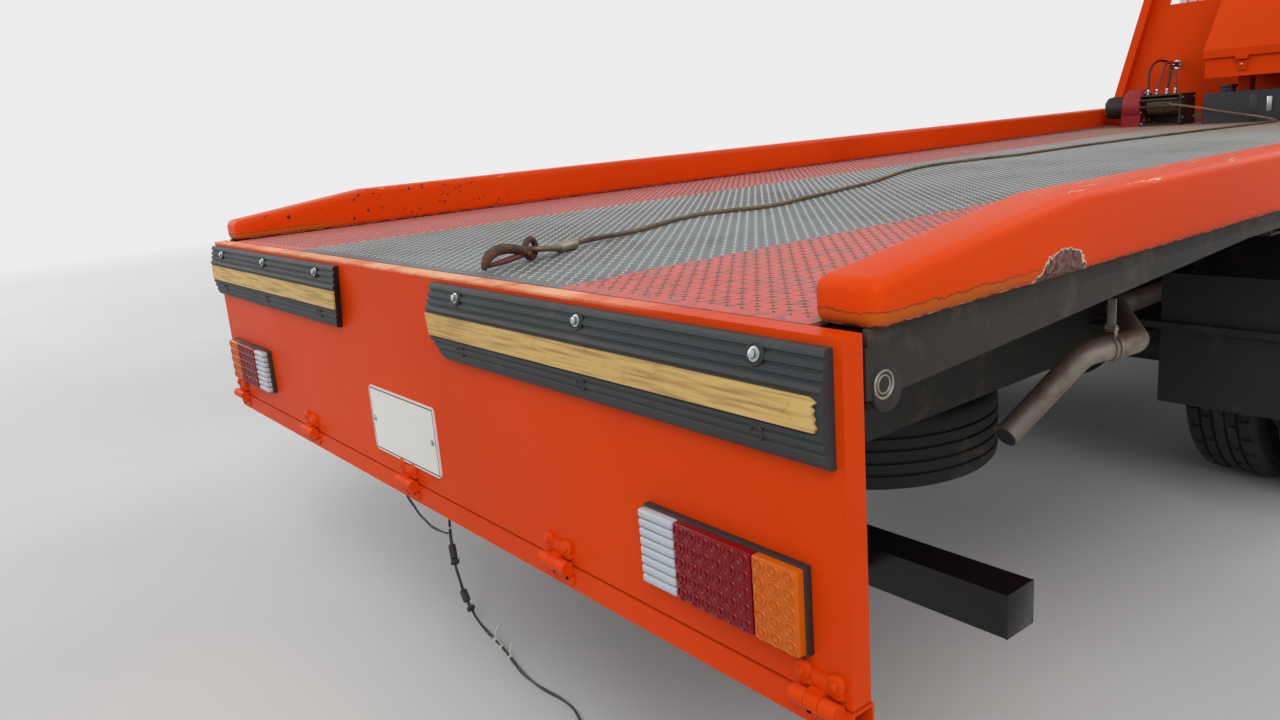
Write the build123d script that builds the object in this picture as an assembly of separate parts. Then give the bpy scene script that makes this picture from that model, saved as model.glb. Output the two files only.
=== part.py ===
from build123d import *
import math
import os

# A forward-control recovery truck whose flat bed slides back and tilts.
# Millimetres: +X is forward, +Y is the truck's left, +Z is up.
# The origin is on the ground, under the middle of the truck's box.

# Overall layout
wheelbase = 3650
rear_overhang = 2800        # rear axle to the outer face of the tailboard
front_overhang = 1180       # front axle to the face of the front bumper
rubber_depth = 45           # how far the rubber bumpers stand out of the tailboard
bed_width = 2450
deck_top = 1080
run_gap = 5                 # left between pieces that move past each other
pin_gap = 0.5               # left round pins, rods and spindles
seat_gap = 0.3              # left where a rounded piece seats in another

rear_axle_x = -(wheelbase + front_overhang - rear_overhang - rubber_depth) / 2
front_axle_x = rear_axle_x + wheelbase
tail_x = rear_axle_x - rear_overhang
nose_x = front_axle_x + front_overhang
half_bed = bed_width / 2

# Wheels
tyre_radius = 395
tyre_width = 225
bead_radius = 222
rim_width = 172
front_track = 1690
rear_track = 1650           # between the middles of the twin pairs
twin_spacing = 268
hub_radius = 82
axle_z = tyre_radius

# Chassis
rail_out = 400              # outer face of a chassis rail from the centre
rail_flange = 65
rail_depth = 200
rail_wall = 7
rail_top = 700
chassis_rear_x = tail_x + 632
chassis_front_x = nose_x - 197
rail_bottom = rail_top - rail_depth

# Tilt frame and bed
slide_stroke = 1900
pivot_x = chassis_rear_x - 50
pivot_z = rail_top - 60
tilt_beam_width = 70
tilt_beam_depth = 130
tilt_beam_y = 380
tilt_bottom = rail_top + 8
tilt_top = tilt_bottom + tilt_beam_depth
runner_depth = 155
runner_bottom = tilt_top + run_gap
runner_top = runner_bottom + runner_depth
deck_plate = 6
deck_bottom = deck_top - deck_plate
board_thick = 35
deck_rear_x = tail_x + board_thick + run_gap
cab_rear_x = front_axle_x - 560
headboard_gap = 330         # from the headboard to the cab
headboard_thick = 60
headboard_x = cab_rear_x - headboard_gap - headboard_thick
slide_rod_z = tilt_bottom + 77

# Tail
board_height = 468
seam_z = deck_top - board_height
lower_rail_height = 43
lower_rail_depth = 40
hinge_radius = 12
hinge_x = tail_x - 14
hinge_z = seam_z - run_gap / 2
beam_x = tail_x + 360
beam_depth = 70
beam_height = 70
beam_bottom = deck_top - 525

# Cab
cab_half = 1025
cab_wall = 40
cab_corner = 80
cab_front_x = nose_x - 97
cab_bottom = rail_top + 20
cab_floor = cab_bottom + 110
cab_roof = cab_bottom + 1540
cab_pivot_x = cab_front_x - 40
cab_pivot_z = cab_bottom - 40
bumper_top = cab_bottom - 60
bumper_height = 300
door_gap = 6


def block(x0, x1, y0, y1, z0, z1):
    return Pos((x0 + x1) / 2, (y0 + y1) / 2, (z0 + z1) / 2) * Box(x1 - x0, y1 - y0, z1 - z0)


def barX(x0, x1, y, z, radius):
    return Pos((x0 + x1) / 2, y, z) * Rot(0, 90, 0) * Cylinder(radius, x1 - x0)


def barY(x, y0, y1, z, radius):
    return Pos(x, (y0 + y1) / 2, z) * Rot(90, 0, 0) * Cylinder(radius, y1 - y0)


def barZ(x, y, z0, z1, radius):
    return Pos(x, y, (z0 + z1) / 2) * Cylinder(radius, z1 - z0)


def outlineXZ(points, y0, y1, rounds=0):
    # An outline of (x, z) points, as thick as y0 to y1
    face = make_face(Polyline(*[(x, y0, z) for x, z in points], close=True))
    if rounds:
        face = fillet(face.vertices(), rounds)
    return extrude(face, y1 - y0, dir=(0, 1, 0))


def outlineYZ(points, x0, x1, rounds=0):
    face = make_face(Polyline(*[(x0, y, z) for y, z in points], close=True))
    if rounds:
        face = fillet(face.vertices(), rounds)
    return extrude(face, x1 - x0, dir=(1, 0, 0))


def outlineXY(points, z0, z1, rounds=0):
    face = make_face(Polyline(*[(x, y, z0) for x, y in points], close=True))
    if rounds:
        face = fillet(face.vertices(), rounds)
    return extrude(face, z1 - z0, dir=(0, 0, 1))


def flipped(shape):
    # The same piece on the other side of the truck
    return mirror(shape, Plane.XZ)


def bothSides(shape):
    return [shape, flipped(shape)]


def fused(pieces):
    whole = pieces[0]
    for piece in pieces[1:]:
        whole = whole + piece
    return whole


def save(name, shapes):
    solids = []
    for shape in shapes if isinstance(shapes, list) else [shapes]:
        solids += list(shape.solids())
    export_step(solids[0] if len(solids) == 1 else Compound(solids), f"parts/{name}.step")


def turned(profile):
    # A ring about the Y axis from a closed outline of (y, radius) points
    face = make_face(Polyline(*[(0, y, r) for y, r in profile], close=True))
    return revolve(face, Axis.Y, 360)


# Wheels and tyres

def tyre():
    half = tyre_width / 2
    bead = rim_width / 2 - 8 - seat_gap
    low = bead_radius + seat_gap
    outline = [
        (-bead, low), (-bead, low + 16), (-half, low + 70), (-half + 6, tyre_radius - 45),
        (-half + 22, tyre_radius - 12), (-half + 45, tyre_radius),
        (half - 45, tyre_radius), (half - 22, tyre_radius - 12),
        (half - 6, tyre_radius - 45), (half, low + 70), (bead, low + 16), (bead, low)]
    return turned(outline)


def rim(dish):
    # The disc stands out from the middle of the rim by dish
    half = rim_width / 2
    inner = bead_radius - 14
    disc = 10
    ring = turned([
        (-half, inner), (-half, bead_radius + 12), (-half + 8, bead_radius + 12),
        (-half + 8, bead_radius), (half - 8, bead_radius), (half - 8, bead_radius + 12),
        (half, bead_radius + 12), (half, inner)])
    web = turned([
        (dish, hub_radius + 30), (dish + disc, hub_radius + 30), (dish + disc - 46, inner + 2),
        (dish - 46, inner + 2)])
    plate = barY(0, dish, dish + disc, 0, hub_radius + 32)
    whole = ring + web + plate
    holes = 6
    hole_circle = (hub_radius + inner + 30) / 2
    for turn in range(holes):
        angle = math.radians(360 / holes * turn)
        x, z = hole_circle * math.cos(angle), hole_circle * math.sin(angle)
        whole -= barY(x, dish - 60, dish + 30, z, 22)
    return whole


front_wheel_y = front_track / 2
rear_wheel_y = rear_track / 2
spindle_radius = 30
kingpin_y = front_wheel_y - 125
front_dish = 36
twin_dish = twin_spacing / 2


def frontWheel():
    bore = barY(0, -200, 200, 0, spindle_radius + pin_gap)
    hub = barY(0, -30, front_dish + 60, 0, hub_radius) + rim(front_dish)
    return hub - bore


def rearTwins():
    # Two rims face to face, bolted to one hub
    inner = Pos(0, -twin_spacing / 2, 0) * rim(twin_dish - 10)
    outer = Pos(0, twin_spacing / 2, 0) * Rot(0, 0, 180) * rim(twin_dish - 10)
    hub = barY(0, -70, 100, 0, hub_radius)
    return inner + outer + hub - barY(0, -200, 60, 0, spindle_radius + pin_gap)


# Axles, knuckles and springs

def frontAxle():
    drop = 70
    end = kingpin_y - 42
    beam = outlineXZ([(-28, -30), (28, -30), (28, 30), (-28, 30)], -end + 120, end - 120)
    middle = Pos(front_axle_x, 0, axle_z - drop) * beam
    pieces = [middle]
    for side in (1, -1):
        rise = outlineYZ([
            (side * (end - 150), axle_z - drop - 30), (side * (end - 60), axle_z - 32),
            (side * (end + 15), axle_z - 32), (side * (end + 15), axle_z + 32),
            (side * (end - 80), axle_z + 32), (side * (end - 180), axle_z - drop + 30)],
            front_axle_x - 28, front_axle_x + 28)
        boss = barZ(front_axle_x, side * kingpin_y, axle_z - 45, axle_z + 45, 38)
        pieces += [rise, boss]
        pieces.append(block(front_axle_x - 50, front_axle_x + 50, side * 370 - 35, side * 370 + 35,
                            axle_z - drop + 25, axle_z - drop + 60))
    whole = fused(pieces)
    for side in (1, -1):
        whole -= barZ(front_axle_x, side * kingpin_y, 200, 600, 18 + pin_gap)
    return whole


def knuckle():
    # Left side, with its pin, two ears and the wheel's spindle
    pin = barZ(front_axle_x, kingpin_y, axle_z - 85, axle_z + 85, 18)
    ears = [barZ(front_axle_x, kingpin_y, axle_z + 46, axle_z + 80, 38),
            barZ(front_axle_x, kingpin_y, axle_z - 80, axle_z - 46, 38)]
    back = block(front_axle_x - 34, front_axle_x + 34, kingpin_y + 42, kingpin_y + 66,
                 axle_z - 80, axle_z + 80)
    joins = [block(front_axle_x - 34, front_axle_x + 34, kingpin_y, kingpin_y + 66,
                   axle_z + 46, axle_z + 80),
             block(front_axle_x - 34, front_axle_x + 34, kingpin_y, kingpin_y + 66,
                   axle_z - 80, axle_z - 46)]
    spindle = barY(front_axle_x, kingpin_y + 60, front_wheel_y + front_dish + 40, axle_z,
                   spindle_radius)
    arm = block(front_axle_x - 190, front_axle_x - 20, kingpin_y - 5, kingpin_y + 25,
                axle_z - 80, axle_z - 56)
    return fused([back, pin, spindle, arm] + ears + joins)


spring_y = 480
eye_radius = 22
eye_pin = 8


def rearAxle():
    tube = barY(rear_axle_x, -rear_wheel_y + 80, rear_wheel_y - 80, axle_z, 62)
    banjo = Pos(rear_axle_x, 0, axle_z) * Sphere(165)
    nose = barX(rear_axle_x, rear_axle_x + 260, 0, axle_z + 20, 75)
    stubs = barY(rear_axle_x, -rear_wheel_y - 50, rear_wheel_y + 50, axle_z, spindle_radius)
    seats = [block(rear_axle_x - 70, rear_axle_x + 70, side * spring_y - 36, side * spring_y + 36,
                   axle_z + 30, axle_z + 90) for side in (1, -1)]
    return fused([tube, banjo, nose, stubs] + seats)


def leafSpring(x, y, seat_z, length, thick, camber):
    # A pack of leaves that is thick at its seat and curves up to its eyes
    half = length / 2
    low = [(x - 90, seat_z), (x + 90, seat_z)]
    body = outlineXZ([
        (x - half, seat_z + camber + 12), low[0], low[1], (x + half, seat_z + camber + 12),
        (x + half, seat_z + camber + 30), (x + 100, seat_z + thick), (x - 100, seat_z + thick),
        (x - half, seat_z + camber + 30)], y - 35, y + 35)
    eye_z = seat_z + camber + 21
    ends = [barY(x + way * half, y - 35, y + 35, eye_z, eye_radius) for way in (1, -1)]
    bores = [barY(x + way * half, y - 40, y + 40, eye_z, eye_pin + seat_gap) for way in (1, -1)]
    return fused([body] + ends) - fused(bores)


front_spring_y = 370
front_spring_seat = axle_z - 10
front_spring_length = 1100
rear_spring_seat = axle_z + 90
rear_spring_length = 1240
front_camber = 65
rear_camber = 45


def springs():
    pieces = []
    for side in (1, -1):
        pieces.append(leafSpring(front_axle_x, side * front_spring_y, front_spring_seat,
                                 front_spring_length, 66, front_camber))
        pieces.append(leafSpring(rear_axle_x, side * spring_y, rear_spring_seat,
                                 rear_spring_length, 60, rear_camber))
    return pieces


# Chassis

tube_rear, tube_front = rear_axle_x + 520, front_axle_x - 900
cross_tubes = [chassis_rear_x + 90, rear_axle_x - 1260, tube_rear, (tube_rear + tube_front) / 2,
               tube_front, chassis_front_x - 120]
cross_z = rail_bottom + 100
cross_radius = 45
cheek_thick = 12
lug_thick = 30
pin_radius = 20
cylinder_y = 250
barrel_pin_x = rear_axle_x - 1060
barrel_pin_z = rail_bottom + 60


def chassisRail():
    inner = rail_out - rail_flange
    web = rail_out - rail_wall
    profile = [(rail_out, rail_bottom), (rail_out, rail_top), (inner, rail_top),
               (inner, rail_top - rail_wall), (web, rail_top - rail_wall),
               (web, rail_bottom + rail_wall), (inner, rail_bottom + rail_wall),
               (inner, rail_bottom)]
    return outlineYZ(profile, chassis_rear_x, chassis_front_x)


hanger_thick = 24


def hangerArm(eye_z):
    # The arm from the rail passes over the spring's eye
    return max(rail_bottom + 16, eye_z + eye_radius + 3)


def springHangers(x, y, eye_z, length):
    # At each eye a plate outside the spring, with its pin and an arm from the rail
    pieces = []
    plate_in = y + 35 + 1
    plate_out = plate_in + cheek_thick
    arm_low = hangerArm(eye_z)
    for way in (1, -1):
        cx = x + way * length / 2
        plate = block(cx - 32, cx + 32, plate_in, plate_out, eye_z - 30, arm_low + hanger_thick)
        arm = block(cx - 32, cx + 32, rail_out, plate_out, arm_low, arm_low + hanger_thick)
        pieces.append(fused([plate, arm, barY(cx, y - 35, plate_out, eye_z, eye_pin)]))
    return pieces


tow_x = nose_x - 90
tow_y = 250
tow_z = bumper_top - bumper_height - 30
tow_bore = 18


def chassis():
    pieces = bothSides(chassisRail())
    web = rail_out - rail_wall
    for x in cross_tubes:
        pieces.append(barY(x, -web, web, cross_z, cross_radius))
    for side in (1, -1):
        pivot = [barY(pivot_x, side * tilt_beam_y - 35, side * tilt_beam_y + 35, pivot_z, pin_radius)]
        for offset in (lug_thick / 2 + 4, -lug_thick / 2 - 4 - cheek_thick):
            y0 = side * tilt_beam_y + offset
            pivot.append(outlineXZ([(pivot_x - 40, pivot_z - 60), (chassis_rear_x, pivot_z - 100),
                                    (chassis_rear_x, pivot_z + 40), (pivot_x - 40, pivot_z + 40)],
                                   y0, y0 + cheek_thick))
        pieces.append(fused(pivot))
        hinge = outlineXZ([(chassis_front_x, rail_bottom + 20), (cab_pivot_x + 25, cab_pivot_z - 30),
                           (cab_pivot_x + 25, cab_pivot_z + 20), (chassis_front_x, cab_pivot_z + 10)],
                          side * (rail_out - 6) - 6, side * (rail_out - 6) + 6)
        inward = sorted([side * (rail_out - 60), side * rail_out])
        pieces.append(hinge + barY(cab_pivot_x, inward[0], inward[1], cab_pivot_z, 15))
        eye_y = side * tow_y
        last = cross_tubes[-1]
        eye = outlineXZ([(last - 20, cross_z), (last + 20, cross_z), (tow_x + 42, tow_z + 50),
                         (tow_x + 42, tow_z - 36), (tow_x - 40, tow_z - 36), (last - 20, cross_z - 70)],
                        eye_y - 10, eye_y + 10)
        eye -= barY(last, -web, web, cross_z, cross_radius)
        pieces.append(eye - barY(tow_x, eye_y - 20, eye_y + 20, tow_z, tow_bore))
        mount_y = sorted([side * engine_half, side * web])
        pieces.append(block(hump_x0 + 300, hump_x0 + 370, mount_y[0], mount_y[1], rail_bottom + 30,
                            rail_bottom + 80))
    pieces.append(barY(barrel_pin_x, -web, web, barrel_pin_z, 25))
    pieces.append(spareCarrier())
    for hanger in hangers():
        pieces += bothSides(hanger)
    return pieces


def hangers():
    rear_eye = rear_spring_seat + rear_camber + 21
    front_eye = front_spring_seat + front_camber + 21
    return (springHangers(rear_axle_x, spring_y, rear_eye, rear_spring_length)
            + springHangers(front_axle_x, front_spring_y, front_eye, front_spring_length))


# Tilt frame, its cylinders and the slide cylinder

tilt_pin_x = rear_axle_x + 290
tilt_pin_z = tilt_bottom + 32
tilt_front_x = headboard_x - 60
tilt_rear_x = pivot_x - 60
barrel_radius = 50
tilt_rod_radius = 25
slide_barrel_radius = 38
slide_rod_radius = 20
pad_length = 160


def tiltFrame():
    outer_y = tilt_beam_y + tilt_beam_width / 2
    inner_y = tilt_beam_y - tilt_beam_width / 2
    wall = 6
    pieces = []
    pad_run = tilt_front_x - 260 - (tilt_rear_x + 100)
    for side in (1, -1):
        low, high = sorted([side * inner_y, side * outer_y])
        beam = block(tilt_rear_x, tilt_front_x, low, high, tilt_bottom, tilt_top)
        beam -= block(tilt_rear_x - 1, tilt_front_x + 1, low + wall, high - wall,
                      tilt_bottom + wall, tilt_top - wall)
        pieces.append(beam)
        lug = outlineXZ([(pivot_x - 40, tilt_bottom), (pivot_x - 40, pivot_z - 25),
                         (pivot_x - 20, pivot_z - 40), (pivot_x + 20, pivot_z - 40),
                         (pivot_x + 40, pivot_z - 25), (pivot_x + 40, tilt_bottom)],
                        side * tilt_beam_y - lug_thick / 2, side * tilt_beam_y + lug_thick / 2)
        lug -= barY(pivot_x, side * tilt_beam_y - 40, side * tilt_beam_y + 40, pivot_z,
                    pin_radius + pin_gap)
        pieces.append(lug)
        for index in range(4):
            x = tilt_rear_x + 100 + pad_run * index / 3
            pieces.append(block(x, x + pad_length, low + 8, high - 8, tilt_top,
                                tilt_top + run_gap - seat_gap))
    for x in tilt_cross:
        pieces.append(block(x - 40, x + 40, -inner_y, inner_y, tilt_bottom, tilt_bottom + cross_high))
    for side in (1, -1):
        y = side * cylinder_y
        slot = block(tilt_pin_x - 60, tilt_pin_x + 60, y - 34, y + 34, tilt_bottom - 1,
                     tilt_bottom + cross_high + 1)
        carriers = []
        for offset in (34, -34 - cheek_thick):
            carriers.append(outlineXZ([(tilt_pin_x - 40, tilt_bottom + cross_high),
                                       (tilt_pin_x - 30, tilt_pin_z + 60), (tilt_pin_x + 30, tilt_pin_z + 60),
                                       (tilt_pin_x + 40, tilt_bottom + cross_high)],
                                      y + offset, y + offset + cheek_thick))
        pin = barY(tilt_pin_x, y - 34 - cheek_thick, y + 34 + cheek_thick, tilt_pin_z, 16)
        pieces = [piece - slot for piece in pieces]
        pieces.append(fused(carriers + [pin]))
    return pieces


tilt_cross = [tilt_rear_x + 120, pivot_x + 650, tilt_pin_x, (tilt_pin_x * 2 + tilt_front_x) / 3,
              (tilt_pin_x + tilt_front_x * 2) / 3, tilt_front_x - 100]
cross_high = 32


def slideBarrel():
    # Hollow, open to the rear, carried on the cross members in saddles
    x0, x1 = pivot_x + 200, pivot_x + 200 + slide_stroke + 330
    tube = barX(x0, x1, 0, slide_rod_z, slide_barrel_radius)
    tube -= barX(x0 - 1, x1 - 30, 0, slide_rod_z, slide_rod_radius + 8)
    gland = barX(x0, x0 + 60, 0, slide_rod_z, slide_barrel_radius + 6)
    gland -= barX(x0 - 1, x0 + 61, 0, slide_rod_z, slide_rod_radius + pin_gap)
    saddles = [block(x - 25, x + 25, -30, 30, tilt_bottom + cross_high, slide_rod_z - 30)
               for x in tilt_cross[1:3]]
    return fused([tube, gland] + saddles)


rod_dx = tilt_pin_x - barrel_pin_x
rod_dz = tilt_pin_z - barrel_pin_z
rod_length = math.hypot(rod_dx, rod_dz)
rod_slope = math.degrees(math.atan2(rod_dz, rod_dx))
barrel_length = rod_length - 120
drift = 12


def alongCylinder(shape):
    # A piece made along +X from the barrel's pin is laid on the cylinder's line
    return Pos(barrel_pin_x, 0, barrel_pin_z) * Rot(0, -rod_slope, 0) * shape


def tiltBarrel(y):
    tube = barX(45, barrel_length, y, 0, barrel_radius)
    tube -= barX(90, barrel_length + 1, y, 0, barrel_radius - 10)
    eye = barY(0, y - 30, y + 30, 0, 48) + block(0, 60, y - 30, y + 30, -35, 35)
    eye -= barY(0, y - 50, y + 50, 0, 25 + pin_gap)
    cap = barX(barrel_length - 35, barrel_length, y, 0, barrel_radius)
    cap -= barX(barrel_length - 40, barrel_length + 1, y, 0, tilt_rod_radius + pin_gap)
    return alongCylinder(fused([tube, eye, cap]))


def tiltRod(y):
    shaft = barX(120, rod_length - 30, y, 0, tilt_rod_radius)
    piston = barX(120, 160, y, 0, barrel_radius - 10 - pin_gap)
    eye = barY(rod_length, y - 28, y + 28, 0, 46)
    eye -= barY(rod_length, y - 50, y + 50, 0, 16 + drift)
    return alongCylinder(fused([shaft, piston, eye]))


# Bed

cross_depth = deck_bottom - runner_top
cross_width = 50
rail_wide = 100
rail_high = 112
rail_drop = 20
rail_overhang = 16
deck_half = half_bed + rail_overhang - rail_wide
tray_length = 560
tray_x = headboard_x - tray_length
rail_slope_length = 430
rail_low = 58
sill_depth = 82
sill_length = 1060
tail_tube_radius = 30


def bedBeams():
    pieces = []
    wall = 6
    for side in (1, -1):
        low, high = sorted([side * (tilt_beam_y - 35), side * (tilt_beam_y + 35)])
        beam = block(deck_rear_x + 90, headboard_x, low, high, runner_bottom, runner_top)
        beam -= block(deck_rear_x + 89, headboard_x + 1, low + wall, high - wall,
                      runner_bottom + wall, runner_top - wall)
        pieces.append(beam)
    count = 13
    first, last = deck_rear_x + 140, headboard_x - 80
    for index in range(count):
        x = first + (last - first) * index / (count - 1)
        channel = outlineXZ([(x - 25, runner_top), (x - 25, deck_bottom), (x + 25, deck_bottom),
                             (x + 25, deck_bottom - 5), (x - 20, deck_bottom - 5),
                             (x - 20, runner_top + 5), (x + 25, runner_top + 5), (x + 25, runner_top)],
                            -deck_half + 6, deck_half - 6)
        pieces.append(channel)
    bracket_x = pivot_x + 120
    bracket = block(bracket_x - 15, bracket_x + 15, -60, 60, slide_rod_z - 25, runner_bottom + 40)
    inner_y = tilt_beam_y - 35
    cross = block(bracket_x - 60, bracket_x + 60, -inner_y, inner_y, runner_bottom + 10,
                  runner_bottom + 60)
    rod = barX(bracket_x, bracket_x + slide_stroke + 240, 0, slide_rod_z, slide_rod_radius)
    return pieces + [fused([bracket, cross, rod])]


def deck():
    # The load floor between the side rails, and the tray that the fittings stand on
    floor = block(deck_rear_x, tray_x, -deck_half, deck_half, deck_bottom, deck_top)
    tray = block(tray_x, headboard_x, -deck_half, deck_half, deck_bottom, deck_top)
    kick = block(headboard_x - 8, headboard_x, -deck_half, deck_half, deck_top, deck_top + 57)
    return [floor, tray + kick]


def sideRail():
    # Right side: a box section whose rear end slopes down
    x0 = tail_x + 45
    outer, inner = -half_bed - rail_overhang, -half_bed - rail_overhang + rail_wide
    body = outlineXZ([
        (x0, deck_top - rail_drop), (x0, deck_top + rail_low - 12), (x0 + 14, deck_top + rail_low),
        (x0 + rail_slope_length, deck_top + rail_high), (headboard_x, deck_top + rail_high),
        (headboard_x, deck_top - rail_drop)], outer, inner)
    return fillet(body.edges().filter_by(Axis.X, tolerance=10).group_by(Axis.Z)[-1], 10)


def sideSill():
    x0, y0 = deck_rear_x, -half_bed
    top, low = deck_top - rail_drop, deck_top - sill_depth
    front_low = top - 14
    return outlineXZ([(x0, top), (x0, low), (x0 + 20, low - 3), (x0 + 60, low),
                      (x0 + sill_length, front_low), (headboard_x, front_low), (headboard_x, top)],
                     y0, y0 + 8)


def sills():
    x, z = tail_x + 78, deck_top - 76
    inner = half_bed - 8
    tube = barY(x, -inner, inner, z, tail_tube_radius) - barY(x, -inner, inner, z, tail_tube_radius - 5)
    return bothSides(sideSill()) + [tube]


headboard_height = 1050
headboard_lean = 295        # how far each side leans in over its height


def headboard():
    x0, x1 = headboard_x, headboard_x + headboard_thick
    top = deck_top + headboard_height
    outer = half_bed + rail_overhang
    slope = headboard_lean / headboard_height

    def side(z, inset):
        return outer - (z - deck_top) * slope - inset
    low = deck_top - rail_drop
    plate = outlineYZ([(-outer, low), (outer, low), (outer, deck_top + 20), (side(top, 0), top),
                       (-side(top, 0), top), (-outer, deck_top + 20)], x0, x1)
    z0, z1 = deck_top + 60, top - 50
    recess = outlineYZ([(-side(z0, 47), z0), (side(z0, 47), z0), (side(z1, 47), z1), (-side(z1, 47), z1)],
                       x0 - 1, x0 + headboard_thick - 6)
    z2, z3 = deck_top + 690, top - 110
    window = outlineYZ([(-side(z2, 140), z2), (side(z2, 140), z2), (side(z3, 140), z3),
                        (-side(z3, 140), z3)], x0, x1 + 1)
    bars = []
    reach = side(z3, 140) - 30
    count = int(2 * reach / 55)
    for index in range(count + 1):
        y = -reach + 2 * reach * index / count
        bars.append(block(x1 - 5, x1 - 1, y - 4, y + 4, z2 - 1, z3 + 1))
    hole = barX(x0, x1 + 1, hose_hole[0], hose_hole[1], 26)
    return fused([plate - recess - window - hole] + bars)


hose_hole = (half_bed - 375, deck_top + 340)


box_front_x = headboard_x - 430
box_y0 = -half_bed + 165
box_y1 = box_y0 + 1550
box_bottom = deck_top + 245
box_face = 150
box_back = 520
box_shelf = 150             # flat top between the lid and the headboard
box_wall = 4


def toolbox():
    def outline(inset, lift):
        x0, x1 = box_front_x + inset, headboard_x - inset
        return [(x0, box_bottom + inset), (x1, box_bottom + inset), (x1, box_bottom + box_back - inset),
                (shelf_x, box_bottom + box_back - inset + lift), (x0, box_bottom + box_face - inset + lift)]
    body = outlineXZ(outline(0, 0), box_y0, box_y1)
    body -= outlineXZ([(box_front_x + box_wall, box_bottom + box_wall),
                       (headboard_x - box_wall, box_bottom + box_wall),
                       (headboard_x - box_wall, box_bottom + box_back - box_wall),
                       (shelf_x, box_bottom + box_back - box_wall),
                       (shelf_x, box_bottom + box_back + 10),
                       (box_front_x + box_wall, box_bottom + box_face + 10)],
                      box_y0 + box_wall, box_y1 - box_wall)
    posts = [block(headboard_x - 160, headboard_x - 90, y, y + 60, deck_top, box_bottom)
             for y in (box_y0 + 60, box_y1 - 130)]
    hinges = []
    for y in lid_hinges:
        hinges.append(block(lid_pivot_x, lid_pivot_x + 34, y - 20, y + 20, box_bottom + box_back - 2,
                            lid_pivot_z + 4))
        hinges.append(barY(lid_pivot_x, y - 20, y + 20, lid_pivot_z, 8))
        hinges.append(barY(lid_pivot_x, y - 50, y + 50, lid_pivot_z, 3.5))
    return fused([body] + posts + hinges)


shelf_x = headboard_x - box_shelf
lid_rise = box_back - box_face
lid_run = shelf_x - box_front_x
lid_thick = 5
lid_pivot_x = shelf_x + 14
lid_pivot_z = box_bottom + box_back + 16
lid_hinges = [box_y0 + 220, box_y1 - 220]


def toolboxLid():
    # A sheet on the slope, with a lip down the front and a leaf to each hinge
    slope = lid_rise / lid_run
    x0, x1 = box_front_x - 16, shelf_x - 4

    def height(x):
        return box_bottom + box_face + (x - box_front_x) * slope + run_gap * 1.8
    plate = outlineXZ([(x0, height(x0)), (x1, height(x1)), (x1, height(x1) + lid_thick * 1.6),
                       (x0, height(x0) + lid_thick * 1.6)], box_y0 - 8, box_y1 + 8)
    lip = block(x0, x0 + 4, box_y0 - 8, box_y1 + 8, height(x0) - 34, height(x0) + 6)
    whole = fused([plate, lip])
    for y in lid_hinges:
        for way in (1, -1):
            a, b = sorted([y + way * 21, y + way * 50])
            leaf = outlineXZ([(x1 - 12, height(x1 - 12) + 1), (x1 - 2, height(x1)),
                              (lid_pivot_x, lid_pivot_z - 6), (lid_pivot_x, lid_pivot_z + 6),
                              (x1 - 12, height(x1 - 12) + 12)], a, b)
            whole += leaf + barY(lid_pivot_x, a, b, lid_pivot_z, 8)
        whole -= barY(lid_pivot_x, y - 60, y + 60, lid_pivot_z, 3.5 + seat_gap)
    return whole


def oilTank():
    tank = block(box_front_x + 20, headboard_x - 190, tank_y0, box_y1 + 15, deck_top, deck_top + tank_height)
    return fillet(tank.edges().filter_by(Axis.Z) + tank.edges().filter_by(Axis.X).group_by(Axis.Z)[-1], 22)


tank_y0 = box_y0 + 160
tank_height = 165


winch_x = headboard_x - 260
winch_y1 = half_bed - 135
winch_y0 = winch_y1 - 450
winch_z = deck_top + 112
gear_length = 110
motor_length = 110
drum_radius = 44
rope_radius = 6


def winch():
    # Drum between an end plate and the gear case, with the motor beyond the case
    gear_y1 = winch_y1 - motor_length
    gear_y0 = gear_y1 - gear_length
    base = block(winch_x - 100, winch_x + 100, winch_y0, gear_y1, deck_top, deck_top + 12)
    case = fillet(barY(winch_x, gear_y0, gear_y1, winch_z, 98).edges(), 16)
    foot = block(winch_x - 84, winch_x + 84, gear_y0, gear_y1, deck_top + 10, winch_z)
    motor = barY(winch_x, gear_y1 - 2, winch_y1, winch_z, 62)
    cover = block(winch_x - 46, winch_x + 46, winch_y1 - 12, winch_y1 + 8, winch_z - 36, winch_z + 36)
    end = block(winch_x - 90, winch_x + 90, winch_y0, winch_y0 + 14, deck_top + 10, winch_z + 60)
    top = block(winch_x - 90, winch_x + 90, winch_y0, gear_y0 + 2, winch_z + 56, winch_z + 62)
    back = block(winch_x + 84, winch_x + 90, winch_y0, gear_y0 + 2, deck_top + 10, winch_z + 60)
    rollers = [barY(winch_x - 92, winch_y0 + 14, gear_y0, winch_z + dz, 9) for dz in (34, -4)]
    whole = fused([base, case, foot, motor, cover, end, top, back] + rollers)
    return whole - barY(winch_x, winch_y0 - 1, gear_y0 + 30, winch_z, 18 + pin_gap)


def winchDrum():
    y0, y1 = winch_y0 + 14 + run_gap, winch_y1 - motor_length - gear_length - run_gap
    drum = barY(winch_x, y0, y1, winch_z, drum_radius)
    flanges = [barY(winch_x, y0, y0 + 6, winch_z, 54), barY(winch_x, y1 - 6, y1, winch_z, 54)]
    shaft = barY(winch_x, winch_y0 + 4, y1 + run_gap + 28, winch_z, 18)
    return fused([drum, shaft] + flanges)


# Cords: the winch rope with its hook, the hoses to the winch and the lamps' loom.
# Points are (x, y, z), with x forward of the tailboard's outer face and z above the deck.

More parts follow.
